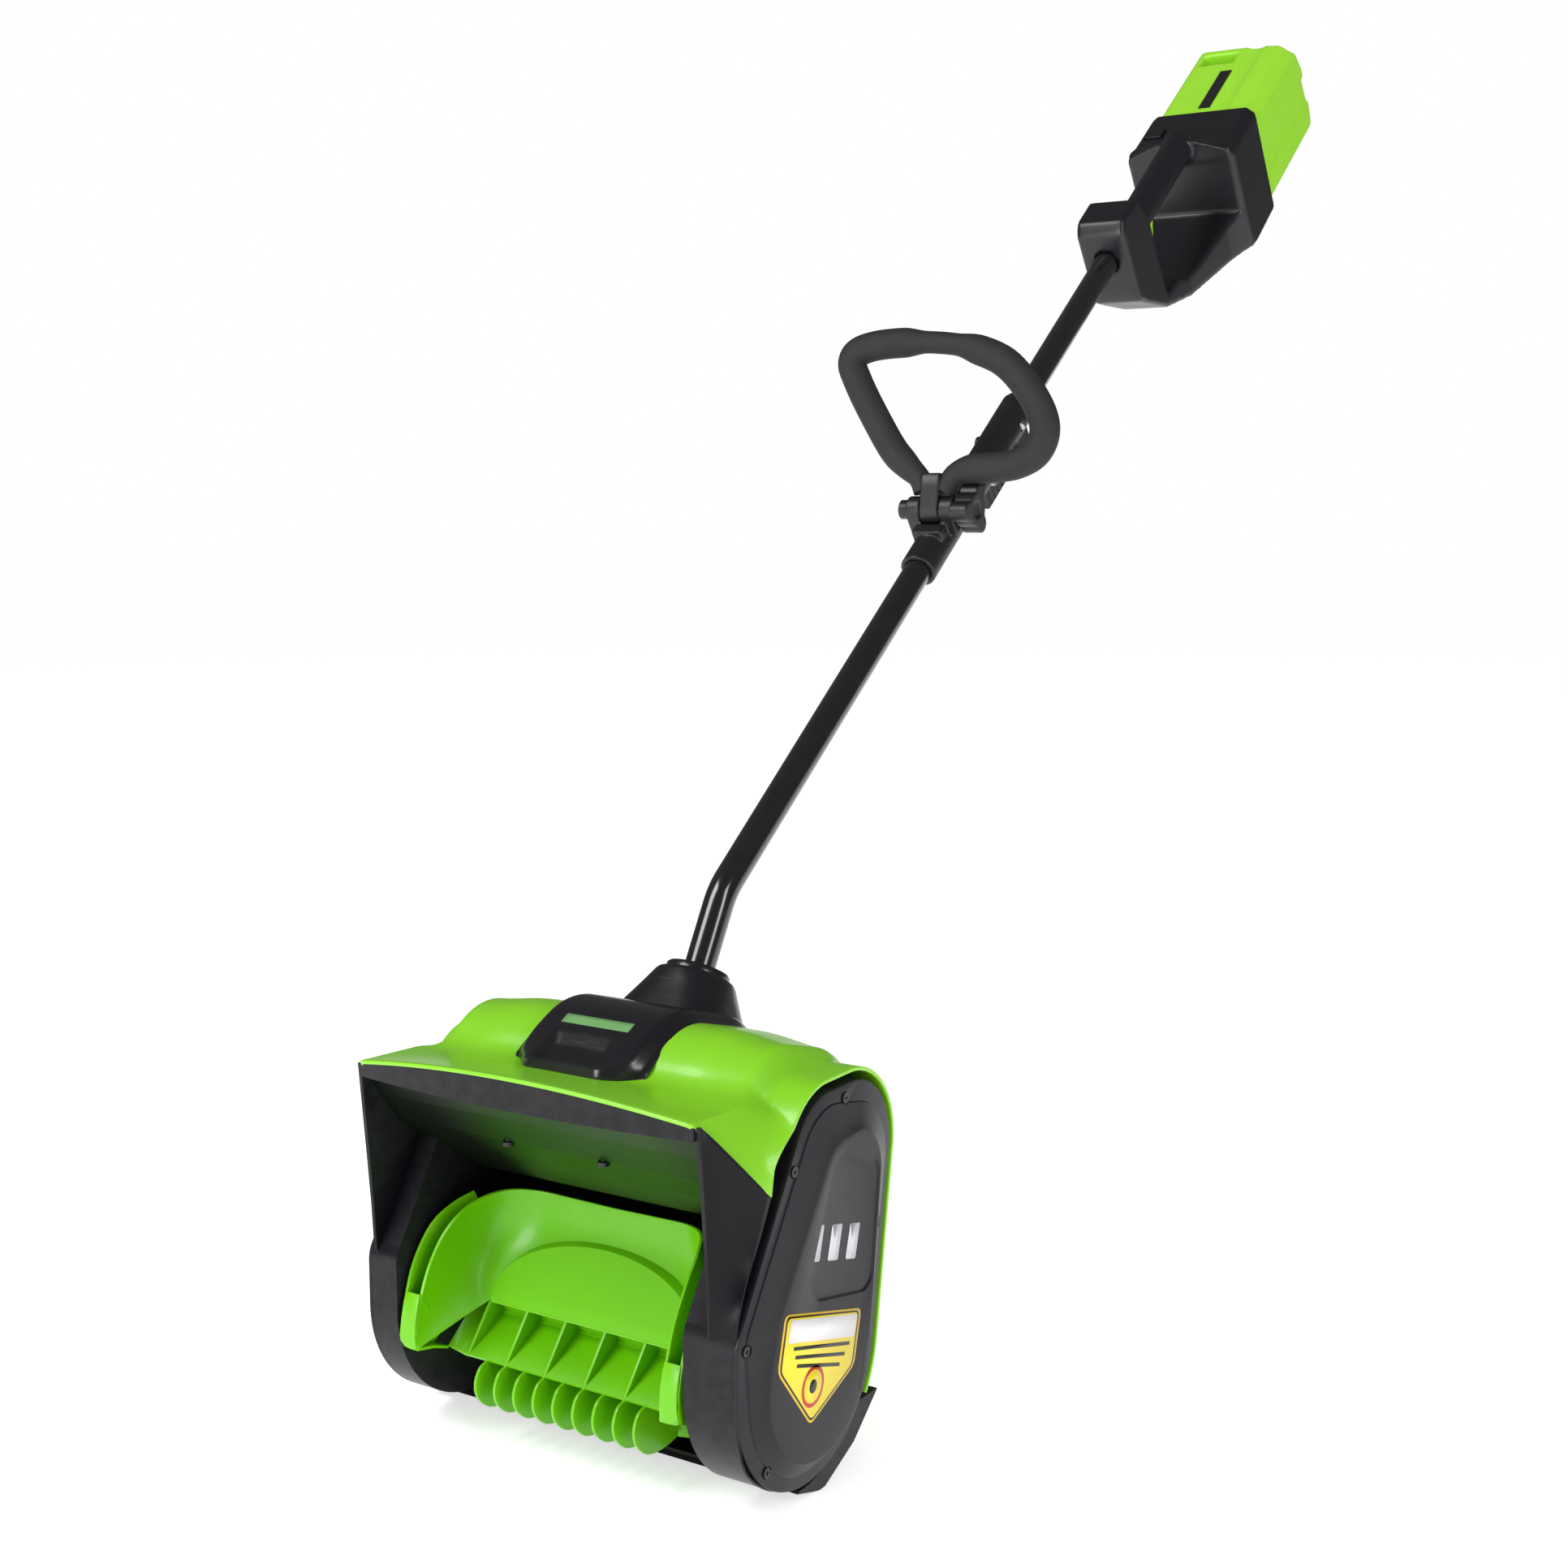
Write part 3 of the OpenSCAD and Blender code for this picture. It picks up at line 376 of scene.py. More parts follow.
def cover_row(x):
    a = abs(x)
    drop = smooth(a, 47, 60)
    circles = [mix(p, q, drop) for p, q in zip(COVER_ARCH, COVER_SHOULDER)]
    first = 112
    start = rim_point(circles, first)
    toe = mix((-77, 299.5), (-56, 297), smooth(a, 30, 60))
    brow = mix((-75, 309), (-54, 304), smooth(a, 30, 60))
    row = [toe, mix(toe, brow, 0.5), brow]
    row += [bezier(brow, mix((-66, 315), (-42, 312), drop), start, i / 10) for i in range(1, 11)]
    row += [rim_point(circles, first - (first + 8) * i / 30) for i in range(1, 31)]
    return [(x, y, z) for y, z in row]


def bay_depth(x, row):
    """Sinks the window panel at the front of the cover."""
    made = []
    for x0, y, z in row:
        inside = (1 - smooth(abs(x0), 25, 29)) * smooth(y, -73, -69) * (1 - smooth(y, -52, -47))
        made.append((x0, y + 1.2 * inside, z - 4.2 * inside))
    return made


cover_stations = [-60, -58, -55, -52, -49, -46, -42, -36, -31, -29, -27, -25, -20, -10]
cover_stations += [0] + [-x for x in reversed(cover_stations)]
cover = place(
    "motor_cover_shell",
    grid_mesh("motor_cover_shell", [bay_depth(x, cover_row(x)) for x in cover_stations]),
    cover_black,
    "black_shell",
    stands_for=["motor_cover"],
    smooth_angle=35,
)
cover_middle = cover.data.polygons[len(cover.data.polygons) // 2]
walled(cover, 2.5, offset=1.0 if cover_middle.normal.z < 0 else -1.0)

strip_print = moulded(
    "strip_print", (0.16, 0.36, 0.12), (0.13, 0.30, 0.10), (0.4, 0.5, 0.4), 0.3, wear=0.2
)


def strip_mesh(name, half, across, circles, from_angle, lift):
    rows = []
    for i in range(13):
        x = -half + 2 * half * i / 12
        radius = max(circles, key=lambda k: k[2])[2]
        span = math.degrees(across / radius)
        rows.append([(x, *rim_point(circles, from_angle + span * j / 4, lift)) for j in range(5)])
    return grid_mesh(name, rows)


printed_strip = place(
    "printed_strip",
    strip_mesh("printed_strip", 31, 13, [(2, 266, 72)], 114, 0.5),
    strip_print,
    "print_grey",
    stands_for=["logo_strip"],
)
walled(printed_strip, 0.4, offset=0)

# ---------------------------------------------------------------------------
# Shaft socket: black nylon cone, square at its foot and round at its neck,
# screwed over the steel seat that holds the bent tube.
# ---------------------------------------------------------------------------
SHAFT_LEAN = math.radians(37.6)
NECK_LEAN = math.radians(60)
BEND = (132.5, 403.1)


def along(lean, x, s, n, start=BEND):
    c, k = math.cos(lean), math.sin(lean)
    return (x, start[0] + s * c - n * k, start[1] + s * k + n * c)


def neck(x, s, n):
    return along(NECK_LEAN, x, s, n)


def shaft(x, s, n):
    return along(SHAFT_LEAN, x, s, n)


def squircle(half_x, half_n, power, count=64):
    ring = []
    for i in range(count):
        a = 2 * math.pi * i / count
        c, s = math.cos(a), math.sin(a)
        r = (abs(c) ** power + abs(s) ** power) ** (-1 / power)
        ring.append((half_x * r * c, half_n * r * s))
    return ring


socket_rings = [
    (-136, 60, 52, 4.5), (-128, 55, 48, 4.5), (-120, 51, 45, 4.2), (-108, 45.5, 41, 3.8),
    (-96, 40, 37, 3.3),
    (-84, 35, 33, 2.8), (-76, 32, 31, 2.4), (-73.5, 30.6, 30, 2.2), (-72.5, 28.6, 28.4, 2.1),
    (-72, 26.5, 26.5, 2), (-68.5, 26.2, 26.2, 2), (-67, 25, 25, 2), (-66.5, 23, 23, 2), (-67, 18, 18, 2),
    (-69, 14.2, 14.2, 2), (-76, 13.6, 13.6, 2),
]
socket_rows = [[neck(x, s, n) for x, n in squircle(a, b, p)] for s, a, b, p in socket_rings]
socket = place(
    "shaft_socket_shell",
    grid_mesh("shaft_socket_shell", socket_rows, wrap=True),
    cover_black,
    "black_shell",
    stands_for=["shaft_socket"],
    smooth_angle=38,
)

# ---------------------------------------------------------------------------
# Drive cover: black nylon lid over the belt, a flat screwed rim with a high
# dished boss; its face is grained, and the shoulders, polished on the real lid, get the same grained
# finish.
# ---------------------------------------------------------------------------
COVER_RIM = [(-20, 105, 92), (38, 240, 56), (6, 250, 46), (-86, 140, 26)]
BOSS_FOOT = [(-18, 103, 80.5), (39, 232, 47), (10, 242, 43), (-72, 140, 30)]
BOSS_FACE = [(-14, 100, 68), (36, 226, 34), (18, 230, 29), (-46, 140, 26)]
BOSS_DISH = [(-12, 166, 16), (44, 152, 14), (52, 220, 14), (16, 236, 14)]
SCREW_PLACES = [(28, 286), (-41, 250), (74, 180), (-102, 141), (42, 58), (-77, 44)]
panel_black = moulded(
    "panel_black", (0.010, 0.0082, 0.0125), (0.007, 0.006, 0.009), (0.06, 0.06, 0.065), 0.33,
    grain=900, depth=0.00004, shine=0.26,
)


def ring_at(x, circles, grow, count=160):
    return [(x, *rim_point(circles, 360 * i / count, grow)) for i in range(count)]


def blended(a, b, t):
    return [mix(p, q, t) for p, q in zip(a, b)]


lid_rings = [
    (173.9, COVER_RIM, -3), (173.9, COVER_RIM, 0), (176.0, COVER_RIM, 0), (176.7, COVER_RIM, -0.3),
    (177.0, COVER_RIM, -1.0), (177.0, BOSS_FOOT, 1.6), (177.3, BOSS_FOOT, 0.6), (178.2, BOSS_FOOT, 0),
    (180.0, blended(BOSS_FOOT, BOSS_FACE, 0.34), 0), (181.8, blended(BOSS_FOOT, BOSS_FACE, 0.68), 0),
    (183.2, blended(BOSS_FOOT, BOSS_FACE, 0.93), 0.6), (183.8, BOSS_FACE, 0.4), (184.0, BOSS_FACE, -0.6),
    (184.0, BOSS_DISH, 2.0), (183.6, BOSS_DISH, 1.0), (182.9, BOSS_DISH, 0.2), (182.6, BOSS_DISH, -1.5),
]
lid_mesh = grid_mesh("drive_lid", [ring_at(*ring) for ring in lid_rings], wrap=True)


def close_rim(mesh, which):
    """Fills the open ring of edges that lies at the given end of X."""
    bm = bmesh.new()
    bm.from_mesh(mesh)
    rim = [e for e in bm.edges if e.is_boundary]
    goal = which(v.co.x for e in rim for v in e.verts)
    wanted = [e for e in rim if all(abs(v.co.x - goal) < 1e-5 for v in e.verts)]
    bmesh.ops.holes_fill(bm, edges=wanted, sides=0)
    bmesh.ops.recalc_face_normals(bm, faces=bm.faces)
    bm.to_mesh(mesh)
    bm.free()


dish_edges = bmesh.new()
dish_edges.from_mesh(lid_mesh)
inner = [e for e in dish_edges.edges if e.is_boundary and all(v.co.x > 0.18 for v in e.verts)]
bmesh.ops.holes_fill(dish_edges, edges=inner, sides=0)
dish_edges.to_mesh(lid_mesh)
dish_edges.free()
lid = place(
    "drive_lid", lid_mesh, panel_black, "black_shell", stands_for=["drive_cover"], smooth_angle=32
)


def carve(piece, cutters):
    """Cuts solids out of a piece and leaves the result as its own mesh."""
    for cutter in cutters:
        cut = piece.modifiers.new("cut", "BOOLEAN")
        cut.operation = "DIFFERENCE"
        cut.solver = "EXACT"
        cut.object = cutter
    graph = bpy.context.evaluated_depsgraph_get()
    graph.update()
    cut_mesh = bpy.data.meshes.new_from_object(piece.evaluated_get(graph))
    piece.modifiers.clear()
    piece.data = cut_mesh
    for cutter in cutters:
        bpy.data.objects.remove(cutter)
    return piece


def rod_cutter(x0, x1, y, z, radius, sides=32):
    rows = []
    for x in (x0, x1):
        angles = [2 * math.pi * i / sides for i in range(sides)]
        rows.append([(x, y + radius * math.cos(a), z + radius * math.sin(a)) for a in angles])
    cutter = bpy.data.objects.new("rod_cutter", grid_mesh("rod_cutter", rows, wrap=True, caps=True))
    bpy.context.scene.collection.objects.link(cutter)
    return cutter


def rounded_prism(x0, x1, outline, corner):
    """Bar along X whose (y, z) outline has its corners rounded by arcs."""
    ring = []
    count = len(outline)
    for i in range(count):
        before, here, after = outline[i - 1], outline[i], outline[(i + 1) % count]
        for j in range(7):
            a = mix(here, before, min(corner / math.dist(here, before), 0.49))
            b = mix(here, after, min(corner / math.dist(here, after), 0.49))
            ring.append(bezier(a, here, b, j / 6))
    return [[(x, y, z) for y, z in ring] for x in (x0, x1)]


close_rim(lid.data, min)
carve(lid, [rod_cutter(176.0, 190, y, z, 4.6) for y, z in SCREW_PLACES])
lid.data.shade_smooth()
lid.data.set_sharp_from_angle(angle=math.radians(32))

# ---------------------------------------------------------------------------
# Side fairing: black nylon wall that runs from the leading edge of the mouth
# back and out to the rim of the drive cover, in one piece with the frame.
# ---------------------------------------------------------------------------
frame_black = moulded(
    "frame_black", (0.006, 0.005, 0.0078), (0.004, 0.0036, 0.0052), (0.06, 0.06, 0.065), 0.34,
    grain=1000, depth=0.00004, shine=0.16,
)


def spline(points, count):
    """Smooth run of count points through the given ones."""
    made = []
    spans = len(points) - 1
    for i in range(count):
        f = spans * i / (count - 1)
        k = min(int(f), spans - 1)
        t = f - k
        p0 = points[max(k - 1, 0)]
        p1, p2 = points[k], points[k + 1]
        p3 = points[min(k + 2, spans)]
        here = []
        for a, b, c, d in zip(p0, p1, p2, p3):
            square = 2 * a - 5 * b + 4 * c - d
            cube = 3 * b - a - 3 * c + d
            here.append(0.5 * (2 * b + (c - a) * t + square * t * t + cube * t**3))
        made.append(tuple(here))
    return made


LEADING_EDGE = [
    (-123.5, 299), (-117.5, 240), (-113.5, 190), (-111.5, 150), (-108, 112), (-99, 74), (-86, 50),
    (-62, 27), (-36, 14),
]
COVER_EDGE = [
    (-66.5, 238.5), (-80, 214), (-95, 190), (-109, 160), (-111.5, 128), (-110, 84), (-100, 52),
    (-72, 28), (-38, 15),
]
FLARE_STEPS = (0.12, 0.3, 0.5, 0.7, 0.85, 0.95, 1.0)
leading = spline(LEADING_EDGE, 60)
trailing = spline(COVER_EDGE, 60)
fairing_rows = []
for (y0, z0), (y1, z1) in zip(leading, trailing):
    row = [(152.2, y0 + 3.5, z0 - 0.5), (152.4, y0 + 0.6, z0 - 0.2), (153.6, y0, z0), (155.4, y0 + 0.5, z0)]
    row += [(156.5 + 18.5 * t, *mix((y0 + 1.0, z0), (y1, z1), t ** 1.15)) for t in FLARE_STEPS]
    fairing_rows.append(row)
fairing = place(
    "side_fairing",
    grid_mesh("side_fairing", fairing_rows),
    frame_black,
    "black_shell",
    smooth_angle=50,
)
walled(fairing, 1.6, offset=-1.0)



def painted(nodes, material):
    """Gives CAD pieces that show as they are their finish."""
    for node in nodes:
        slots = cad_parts[node].data.materials
        slots.clear()
        slots.append(material)


painted(("side_frame_right", "side_frame_left", "left_cover", "scraper_bar", "lip_trim"), frame_black)
bevelled(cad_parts["scraper_bar"], 0.8, 2)

# ---------------------------------------------------------------------------
# Throat liner: the underside of the hood over the rotor, the hood's green in painted
# shade, dark in the middle and masked to black painted shade towards the walls.
# ---------------------------------------------------------------------------
# Painted shade: the hood's own green darkened as if the roof lay in shadow.
liner_green_in_painted_shade = moulded(
    "liner_green_in_painted_shade", (0.010, 0.042, 0.0012), (0.007, 0.030, 0.001), (0.04, 0.10, 0.01), 0.34,
    wear=0.2, shine=0.2,
)
liner_nodes = liner_green_in_painted_shade.node_tree.nodes
liner_links = liner_green_in_painted_shade.node_tree.links
liner_place = liner_nodes.new("ShaderNodeTexCoord")
liner_painted_shade_shift = liner_nodes.new("ShaderNodeMapping")
liner_painted_shade_shift.inputs["Location"].default_value = (-0.25, 1.05, -3.1)
liner_painted_shade_shift.inputs["Scale"].default_value = (7.5, 10.0, 12.0)
# Painted shade: a spherical fade from the dark green middle to near black towards the walls.
liner_painted_shade_ball = liner_nodes.new("ShaderNodeTexGradient")
liner_painted_shade_ball.gradient_type = "SPHERICAL"
liner_painted_shade_fade = liner_nodes.new("ShaderNodeMapRange")
liner_painted_shade_fade.inputs["From Max"].default_value = 0.45
liner_painted_shade_mask = liner_nodes.new("ShaderNodeMix")
liner_painted_shade_mask.data_type = "RGBA"
liner_painted_shade_mask.inputs["A"].default_value = (0.004, 0.006, 0.003, 1)
liner_shader = liner_nodes["Principled BSDF"]
liner_colour = liner_shader.inputs["Base Color"].links[0].from_socket
liner_links.new(liner_place.outputs["Object"], liner_painted_shade_shift.inputs["Vector"])
liner_links.new(liner_painted_shade_shift.outputs["Vector"], liner_painted_shade_ball.inputs["Vector"])
liner_links.new(liner_painted_shade_ball.outputs["Fac"], liner_painted_shade_fade.inputs["Value"])
liner_links.new(liner_painted_shade_fade.outputs["Result"], liner_painted_shade_mask.inputs["Factor"])
liner_links.new(liner_colour, liner_painted_shade_mask.inputs["B"])
liner_links.new(liner_painted_shade_mask.outputs["Result"], liner_shader.inputs["Base Color"])
painted(["liner"], liner_green_in_painted_shade)

# ---------------------------------------------------------------------------
# Screws: blackened steel with a cross recess, driven into the covers and the
# throat roof; the same finish is on the loop handle's through bolt.
# ---------------------------------------------------------------------------


def machined(name, colour, dark, roughness, metallic, streak=(40.0, 400.0, 400.0)):
    """Turned or pressed metal: fine tool streaks, a drifting plating tone and rubbed edges."""
    material = bpy.data.materials.new(name)
    material.use_nodes = True
    nodes, links = material.node_tree.nodes, material.node_tree.links
    shader = nodes["Principled BSDF"]
    grained = nodes.new("ShaderNodeGroup")
    grained.node_tree = GRAIN
    grained.inputs["Mottle Scale"].default_value = 60.0
    rubbed = nodes.new("ShaderNodeGroup")
    rubbed.node_tree = WEAR
    tone = nodes.new("ShaderNodeMix")
    tone.data_type = "RGBA"
    tone.inputs["A"].default_value = (*colour, 1)
    tone.inputs["B"].default_value = (*dark, 1)
    pale = nodes.new("ShaderNodeMix")
    pale.data_type = "RGBA"
    pale.inputs["B"].default_value = (*[min(1.0, c * 1.6 + 0.05) for c in colour], 1)
    where = nodes.new("ShaderNodeTexCoord")
    stretched = nodes.new("ShaderNodeMapping")
    stretched.inputs["Scale"].default_value = streak
    lines = nodes.new("ShaderNodeTexNoise")
    lines.inputs["Scale"].default_value = 4.0
    bump = nodes.new("ShaderNodeBump")
    bump.inputs["Strength"].default_value = 0.35
    bump.inputs["Distance"].default_value = 0.00002
    rough = nodes.new("ShaderNodeMapRange")
    rough.inputs["To Min"].default_value = roughness - 0.05
    rough.inputs["To Max"].default_value = roughness + 0.12
    links.new(grained.outputs["Mottle"], tone.inputs["Factor"])
    links.new(tone.outputs["Result"], pale.inputs["A"])
    links.new(rubbed.outputs["Worn"], pale.inputs["Factor"])
    links.new(pale.outputs["Result"], shader.inputs["Base Color"])
    links.new(grained.outputs["Mottle"], rough.inputs["Value"])
    links.new(rough.outputs["Result"], shader.inputs["Roughness"])
    links.new(where.outputs["Object"], stretched.inputs["Vector"])
    links.new(stretched.outputs["Vector"], lines.inputs["Vector"])
    links.new(lines.outputs["Fac"], bump.inputs["Height"])
    links.new(bump.outputs["Normal"], shader.inputs["Normal"])
    shader.inputs["Metallic"].default_value = metallic
    return material


black_screw = machined("black_screw_steel", (0.030, 0.029, 0.032), (0.018, 0.018, 0.020), 0.34, 0.6)
painted(("cover_screws", "left_screws", "roof_screws", "handle_screws", "loop_bolt"), black_screw)

# ---------------------------------------------------------------------------
# Drive side markings: a plain yellow five-sided vinyl label with a black
# border and a red ring, and three slanted silver bars in the dish above.
# ---------------------------------------------------------------------------
LABEL = [(-63, 155), (41, 125), (31, 85), (-30, 62), (-73, 116)]


def printed(name, colour, rough=0.35):
    return moulded(name, colour, tuple(c * 0.92 for c in colour), colour, rough, wear=0.1, grain=700)


def flat_patch(name, outline, x, material, slot, stands_for=()):
    mesh = bpy.data.meshes.new(name)
    mesh.from_pydata([(x * MM, y * MM, z * MM) for y, z in outline], [], [tuple(range(len(outline)))])
    patch = place(name, mesh, material, slot, stands_for=stands_for)
    walled(patch, 0.12, offset=0)
    return patch


def shrunk(outline, by):
    cy = sum(p[0] for p in outline) / len(outline)
    cz = sum(p[1] for p in outline) / len(outline)
    return [mix(p, (cy, cz), by) for p in outline]


def rounded_outline(outline, corner):
    return [(y, z) for _, y, z in rounded_prism(0, 1, outline, corner)[0]]


label_black = printed("label_black", (0.015, 0.013, 0.012))
label_yellow = printed("label_yellow", (0.93, 0.74, 0.03))
label_white = printed("label_white", (0.82, 0.80, 0.80))
label_red = printed("label_red", (0.60, 0.05, 0.03))
label_gold = printed("label_gold", (0.80, 0.52, 0.02))
flat_patch(
    "label_edge", rounded_outline(LABEL, 6), 184.10, label_gold, "label_yellow",
    stands_for=["warning_label"],
)
label_layers = [
    ("label_border", rounded_outline(shrunk(LABEL, 0.045), 5), 184.20, label_black),
    ("label_field", rounded_outline(shrunk(LABEL, 0.085), 4.5), 184.30, label_yellow),
    ("label_band", [(-55, 148.5), (34.5, 122.5), (30, 107), (-59.5, 133)], 184.40, label_white),
]
for row in range(3):
    y0, z0 = -52 + 2 * row, 128 - 7 * row
    y1, z1 = 24 - 7 * row, 105.5 - 5.6 * row
    line = [(y0, z0), (y1, z1), (y1 - 0.7, z1 - 2.5), (y0 - 0.7, z0 - 2.5)]
    label_layers.append((f"label_bar_{row}", line, 184.40, label_black))
LABEL_RINGS = [
    ("label_ring", 15, 184.40, label_red), ("label_disc", 12, 184.50, label_yellow),
    ("label_dot", 5, 184.60, label_black),
]
for name, radius, x, print_colour in LABEL_RINGS:
    turns = [math.tau * i / 40 for i in range(40)]
    ring = [(-27 + radius * math.cos(a), 90 + radius * math.sin(a)) for a in turns]
    label_layers.append((name, ring, x, print_colour))
for name, outline, x, print_colour in label_layers:
    flat_patch(name, outline, x, print_colour, "label_yellow")
silver_print = machined("silver_print", (0.62, 0.63, 0.66), (0.45, 0.46, 0.50), 0.34, 0.55)
for bar in range(3):
    y, z = -30 + 25 * bar, 182 - 6.7 * bar
    slant = [(y, z), (y + 14, z - 3.8), (y + 21, z + 21.5), (y + 7, z + 25)]
    flat_patch(
        f"silver_bar_{bar}", rounded_outline(slant, 2), 182.75, silver_print, "print_grey",
        stands_for=["side_badge"] if bar == 0 else (),
    )

# ---------------------------------------------------------------------------
# Rotor: one glossy lime green moulding of two opposed scoops on a core, each
# with a hub panel, a ribbed groove, a comb of back ribs and double end walls.
# ---------------------------------------------------------------------------
AXLE = (-26, 106)
rotor_green = moulded(
    "rotor_green", (0.150, 0.52, 0.001), (0.12, 0.44, 0.001), (0.30, 0.66, 0.05), 0.30,
    wear=0.4, coat=0.1, shine=0.35,
)
SCOOP_RIM = [
    (0, 11, 77), (40, 11, 77.5), (72, 8, 78.5), (92, -6, 79), (104, -28, 74), (110, -50, 61),
    (112.5, -69, 38), (113.5, -81, 10), (113.5, -87, -17),
]
SCOOP_FOOT = [
    (0, -12, 16), (40, -12, 16), (68, -13, 14), (84, -17, 8), (93, -25, -3), (100, -42, -10),
    (106, -60, -17), (110, -74, -22), (112.5, -86, -26),
]
SCOOP_BELLY = [
    (0, 5, 42), (40, 5, 42), (74, 4, 42), (97, -6, 40), (108, -24, 34), (113, -44, 25), (114.5, -62, 11),
    (114.5, -76, -6), (114, -87, -21),
]
WALL_RIM = [
    (113, -18, 78), (120, -34, 72), (125, -54, 60), (127, -72, 36), (127, -82, 10), (127, -87, -17),
    (127, -86, -26),
]
WALL_FOOT = [
    (108, 2, 38), (119, -8, 20), (125, -20, 0), (127, -36, -20), (127, -52, -34), (127, -68, -32),
    (127, -86, -26),
]
# (inner x, width, line) of the three strips that join each end wall to the scoop.
WALL_JOINS = [
    (113, 14, [(-86, -26), (-87, -17), (-86, -4), (-83, 8), (-81, 13)]),
    (113, 14, [(-81, 13), (-74, 4), (-68, -14)]),
    (112, 15, [(-86, -26), (-68, -30), (-52, -36)]),
]
FRONT_COMB = [
    (-50, -38), (-60, -41), (-65.5, -50), (-65, -60), (-60, -68), (-51, -75), (-39, -78),
    (-25, -78), (-12.5, -76),
]
REAR_COMB = [
    (-50, -38), (-58, -40), (-61, -46), (-58, -52), (-50, -57), (-39, -62), (-25, -67),
    (-16, -71), (-12, -73),
]


class Sheets:
    """Thin walls of a moulding gathered as open sheets, given their thickness together."""

    def __init__(self, centre, flip):
        self.bm = bmesh.new()
        self.centre = centre
        self.flip = flip

    def vert(self, p):
        x, y, z = p
        k = -1 if self.flip else 1
        return self.bm.verts.new((x * MM, (self.centre[0] + k * y) * MM, (self.centre[1] + k * z) * MM))

    def grid(self, rows):
        made = [[self.vert(p) for p in row] for row in rows]
        for a, b in zip(made, made[1:]):
            for i in range(len(a) - 1):
                self.bm.faces.new((a[i], a[i + 1], b[i + 1], b[i]))

    def plate(self, points):
        self.bm.faces.new([self.vert(p) for p in points])

    def mesh(self, name):
        bmesh.ops.remove_doubles(self.bm, verts=self.bm.verts, dist=2e-5)
        bmesh.ops.recalc_face_normals(self.bm, faces=self.bm.faces)
        mesh = bpy.data.meshes.new(name)
        self.bm.to_mesh(mesh)
        self.bm.free()
        return mesh


def mirrored(points):
    return [(-x, y, z) for x, y, z in reversed(points)][: len(points) - 1] + list(points)


def scoop_half(name, flip):
    sheets = Sheets(AXLE, flip)
    rim = spline(mirrored(SCOOP_RIM), 97)
    foot = spline(mirrored(SCOOP_FOOT), 97)
    belly = spline(mirrored(SCOOP_BELLY), 97)
    rows = []
    for r, b, m in zip(rim, foot, belly):
        pull = tuple(2 * c - (p + q) / 2 for p, q, c in zip(r, b, m))
        rows.append([bezier(b, pull, r, i / 14) for i in range(15)])
    sheets.grid(rows)
    for side in (-1, 1):
        outer_rim = spline([(side * x, y, z) for x, y, z in WALL_RIM], 25)
        outer_foot = spline([(side * x, y, z) for x, y, z in WALL_FOOT], 25)
        sheets.grid([[mix(a, b, i / 6) for i in range(7)] for a, b in zip(outer_rim, outer_foot)])
        for inner, width, line in WALL_JOINS:
            sheets.grid([[(side * (inner + width * i / 2), y, z) for i in range(3)] for y, z in line])
    plate_rows = []
    for i in range(49):
        a = math.pi * i / 48
        x, h = 94 * math.cos(a), 55 * math.sin(a) ** 0.9
        heights = [h * t for t in (0, 0.25, 0.5, 0.75, 1)]
        plate_rows.append([(x, -24.5 + 0.4545 * up, -3 + 0.891 * up) for up in heights])
    sheets.grid(plate_rows)
    plate_edge = [row[-1] for row in plate_rows]
    sheets.grid([[(x, y, z), (x * 1.01, y + 9, z + 2.5)] for x, y, z in plate_edge])
    groove = [(-25, -3.5), (-12, -9), (-9, -16), (-12, -18)]
    sheets.grid([[(x, y, z) for y, z in groove] for x in range(-100, 101, 10)])
    shelf = []
    for i in range(29):
        x = -112 + 8 * i
        end = smooth(abs(x), 96, 112)
        back, middle = (x, -11 - 4 * end, -18 + 16 * end), (x, -31 - 3 * end, -28 + 8 * end)
        shelf.append([back, middle, (x, -52, -38 + 3 * end)])
    sheets.grid(shelf)
    for x in (-92.5, -55.5, -18.5, 18.5, 55.5, 92.5):
        sheets.plate([(x, -24.5, -3), (x, -53, -38.5), (x, -30, -27), (x, -10, -17.5), (x, -9, -10)])
    comb = spline(REAR_COMB if flip else FRONT_COMB, 25)
    comb += [(-10.6, -60), (-7.5, -44), (-1, -28), (-12, -20)]
    for i in range(-4, 5):
        sheets.plate([(18.5 * i, y, z) for y, z in comb])
    piece = place(name, sheets.mesh(name), rotor_green, "green_shell", body="auger", smooth_angle=32)
    walled(piece, 2.2, offset=0)
    bevelled(piece, 0.45, 2, 50)
    return piece


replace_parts(scoop_half("rotor_scoop_front", False), "rotor")
scoop_half("rotor_scoop_rear", True)
core_rows = []
for x, r in ((-126, 9), (-126, 15), (-120, 16), (-60, 15), (60, 15), (120, 16), (126, 15), (126, 9)):
    turns = [math.tau * i / 40 for i in range(40)]
    core_rows.append([(x, AXLE[0] + r * math.cos(a), AXLE[1] + r * math.sin(a)) for a in turns])
core_mesh = grid_mesh("rotor_core", core_rows, wrap=True)
place("rotor_core", core_mesh, rotor_green, "green_shell", body="auger")

